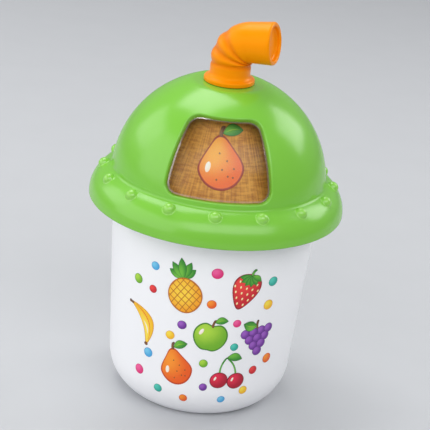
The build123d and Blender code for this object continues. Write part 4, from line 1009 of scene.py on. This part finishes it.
def draw_cherries(sheet):
    """Two cherries on bowed stalks, with glints and a leaf."""
    sheet.lay(stalk(11.4, 0.42, 1.3), ink_leaf, (-3.9, -2.2), 70.0, 0.0)
    sheet.lay(stalk(12.6, 0.42, -1.5), ink_leaf, (4.5, -3.4), 112.0, 0.0)
    sheet.lay(oval(4.7, 4.5), ink_crimson, (-4.4, -4.2), 0.0, 1.0)
    sheet.lay(oval(4.7, 4.5), ink_crimson, (4.6, -5.8), 0.0, 2.0)
    sheet.lay(oval(0.55, 1.15), ink_gloss, (-6.3, -3.0), -28.0, 3.0)
    sheet.lay(oval(0.55, 1.15), ink_gloss, (2.7, -4.6), -28.0, 3.0)
    sheet.lay(leaf(8.2, 2.3, 0.8), ink_leaf, (-0.2, 8.4), -14.0, 2.0)


def draw_pineapple(sheet):
    """A pineapple: a fan of leaves behind a body with crossing lines."""
    for number, (angle, length) in enumerate(((38, 7.0), (142, 7.0), (62, 8.6), (118, 8.6), (90, 9.6))):
        sheet.lay(leaf(length, 1.7), ink_leaf, (0.0, 5.6), angle, 0.4 * number)
    sheet.lay(lambda x, y: (6.6 * x * (1 + 0.10 * (1 - y**2)), 8.2 * y), ink_lattice, (0.0, -2.0), 0.0, 2.4)


def draw_grapes(sheet):
    """A bunch of grapes in rows of four to one, with a stalk and a leaf."""
    for row, count in enumerate((4, 3, 2, 1)):
        for number in range(count):
            across = (number - (count - 1) / 2) * 4.1
            layer = 0.5 * (row + number % 2)
            sheet.lay(oval(2.45, 2.45), ink_purple, (across, 3.0 - 3.5 * row), 0.0, layer)
    sheet.lay(stalk(4.6, 0.5, 0.4), ink_brown, (0.0, 4.6), 84.0, 2.5)
    sheet.lay(leaf(7.4, 2.6, 0.6), ink_leaf, (-0.2, 6.0), 158.0, 3.0)
    sheet.lay(leaf(6.2, 0.2, 0.6), ink_lime, (-0.8, 6.2), 158.0, 4.0)


def print_cup():
    """Fruit and dots over the cup's front."""
    sheet = Print("cup_print")
    motifs = (
        (draw_pineapple, (), (-9.0, 63.0), 9.0, 1.0),
        (draw_strawberry, (), (16.0, 65.0), -16.0, 0.86),
        (draw_banana, (), (-25.0, 44.0), 118.0, 0.92),
        (draw_grapes, (), (25.0, 42.0), 8.0, 0.92),
        (draw_apple, (ink_lime,), (3.6, 43.0), -8.0, 0.86),
        (draw_pear, (ink_orange,), (-10.0, 26.6), 14.0, 0.86),
        (draw_cherries, (), (13.0, 26.0), 6.0, 0.86),
    )
    for draw, inks, centre, turn, size in motifs:
        sheet.place(cup_surface, centre, turn, size)
        draw(sheet, *inks)
    dots = (
        (ink_pink, 2.4, (3.5, 73.0)),
        (ink_blue, 1.9, (-22.5, 71.0)),
        (ink_teal, 2.2, (28.5, 68.0)),
        (ink_orange, 2.0, (2.6, 58.5)),
        (ink_yellow, 2.3, (28.0, 57.0)),
        (ink_red, 1.8, (-23.0, 60.0)),
        (ink_lime, 2.2, (-31.0, 62.0)),
        (ink_purple, 2.0, (-8.8, 47.0)),
        (ink_pink, 1.8, (14.4, 49.6)),
        (ink_yellow, 2.0, (-13.6, 41.0)),
        (ink_teal, 1.8, (14.6, 38.2)),
        (ink_orange, 2.3, (32.6, 30.0)),
        (ink_blue, 2.2, (-23.6, 29.4)),
        (ink_red, 2.0, (25.6, 25.6)),
        (ink_lime, 1.9, (2.0, 30.0)),
        (ink_pink, 2.3, (-28.0, 19.6)),
        (ink_purple, 1.8, (3.0, 18.4)),
        (ink_yellow, 2.0, (22.0, 16.2)),
        (ink_teal, 2.0, (-17.6, 13.8)),
        (ink_blue, 1.8, (12.0, 12.2)),
        (ink_orange, 1.9, (-5.4, 11.6)),
    )
    for ink, radius, centre in dots:
        sheet.place(cup_surface, centre)
        sheet.lay(oval(radius, radius), ink)
    sheet.finish("shell")


def print_pictures():
    """One fruit on each sixth of the drum's band."""
    sheet = Print("drum_pictures")
    motifs = (
        (draw_pear, (ink_golden,)),
        (draw_strawberry, ()),
        (draw_banana, ()),
        (draw_apple, (ink_lime,)),
        (draw_plum, ()),
        (draw_cherries, ()),
    )
    for number, (draw, inks) in enumerate(motifs):
        sheet.place(picture_surface(number * 2 * pi / len(motifs)), PICTURE_SHIFT, 6.0, PICTURE_SIZE)
        draw(sheet, *inks)
    sheet.finish("spinner")


print_cup()
print_pictures()


def soft_light(name, place, aim, wide, tall, power):
    """A soft box at a place, turned to face a point."""
    lamp = bpy.data.lights.new(name, "AREA")
    lamp.shape = "RECTANGLE"
    lamp.size = wide
    lamp.size_y = tall
    lamp.energy = power
    made = bpy.data.objects.new(name, lamp)
    made.visible_camera = False
    made.location = place
    made.rotation_mode = "QUATERNION"
    made.rotation_quaternion = (Vector(aim) - Vector(place)).to_track_quat("-Z", "Y")
    scene.collection.objects.link(made)


def place_camera():
    """Looks from the front and above at the target, then pans, tilts and rolls about its own axes."""
    around = Matrix.Rotation(CAMERA_AZIMUTH, 3, "Z")
    back = around @ Vector((0.0, -cos(CAMERA_ELEVATION), sin(CAMERA_ELEVATION)))
    right = around @ Vector((1.0, 0.0, 0.0))
    up = back.cross(right)
    pan = Matrix.Rotation(CAMERA_PAN, 3, up)
    forward, right = pan @ -back, pan @ right
    tilt = Matrix.Rotation(CAMERA_TILT, 3, right)
    forward, up = tilt @ forward, tilt @ up
    roll = Matrix.Rotation(CAMERA_ROLL, 3, forward)
    right, up = roll @ right, roll @ up
    lens = bpy.data.cameras.new("camera")
    lens.sensor_width = SENSOR_WIDTH_MM
    lens.lens = SENSOR_WIDTH_MM * FOCAL_LENGTH_PX / PHOTO_SIDE_PX
    made = bpy.data.objects.new("camera", lens)
    turned = Matrix((right, up, -forward)).transposed().to_4x4()
    made.matrix_world = Matrix.Translation(CAMERA_TARGET + back * CAMERA_DISTANCE) @ turned
    scene.collection.objects.link(made)
    scene.camera = made


place_camera()

# Studio: pale floor, soft boxes and an even sky
FLOOR_HALF = 6.0
floor_pale = (0.560, 0.570, 0.590, 1.0)
floor_deep = (0.540, 0.550, 0.570, 1.0)
floor_material = moulded_plastic("floor_paint", floor_pale, floor_deep, 0.6, (300.0, 0.00002))
floor_line = np.linspace(-FLOOR_HALF, FLOOR_HALF, FLOOR_LINES)
floor_x, floor_y = np.meshgrid(floor_line, floor_line)
floor_points = np.stack([floor_x, floor_y, np.zeros_like(floor_x)], axis=-1)
floor_faces = grid_faces(FLOOR_LINES, FLOOR_LINES, False).tolist()
make_piece("floor", floor_points, floor_faces, [floor_material])

sky = bpy.data.worlds.new("sky")
sky.use_nodes = True
sky.node_tree.nodes["Background"].inputs["Color"].default_value = (0.95, 0.97, 1.0, 1.0)
sky.node_tree.nodes["Background"].inputs["Strength"].default_value = 0.37
scene.world = sky
scene.view_settings.view_transform = "Standard"
soft_boxes = (
    ("key_box", (0.20, -0.75, 0.80), (0, 0, 0.08), 1.5, 0.55, 6.1),
    ("top_box", (-0.23, 0.34, 1.0), (0, 0, 0.10), 0.62, 0.62, 4.4),
    ("right_box", (0.74, 0.43, 0.62), (0, 0, 0.10), 0.50, 0.50, 2.5),
    ("left_box", (-0.85, 0.32, 0.52), (0, 0, 0.10), 0.50, 0.50, 1.4),
    ("front_box", (-0.85, -0.42, 0.44), (0, 0, 0.07), 1.2, 0.76, 3.8),
)
for soft_box in soft_boxes:
    soft_light(*soft_box)
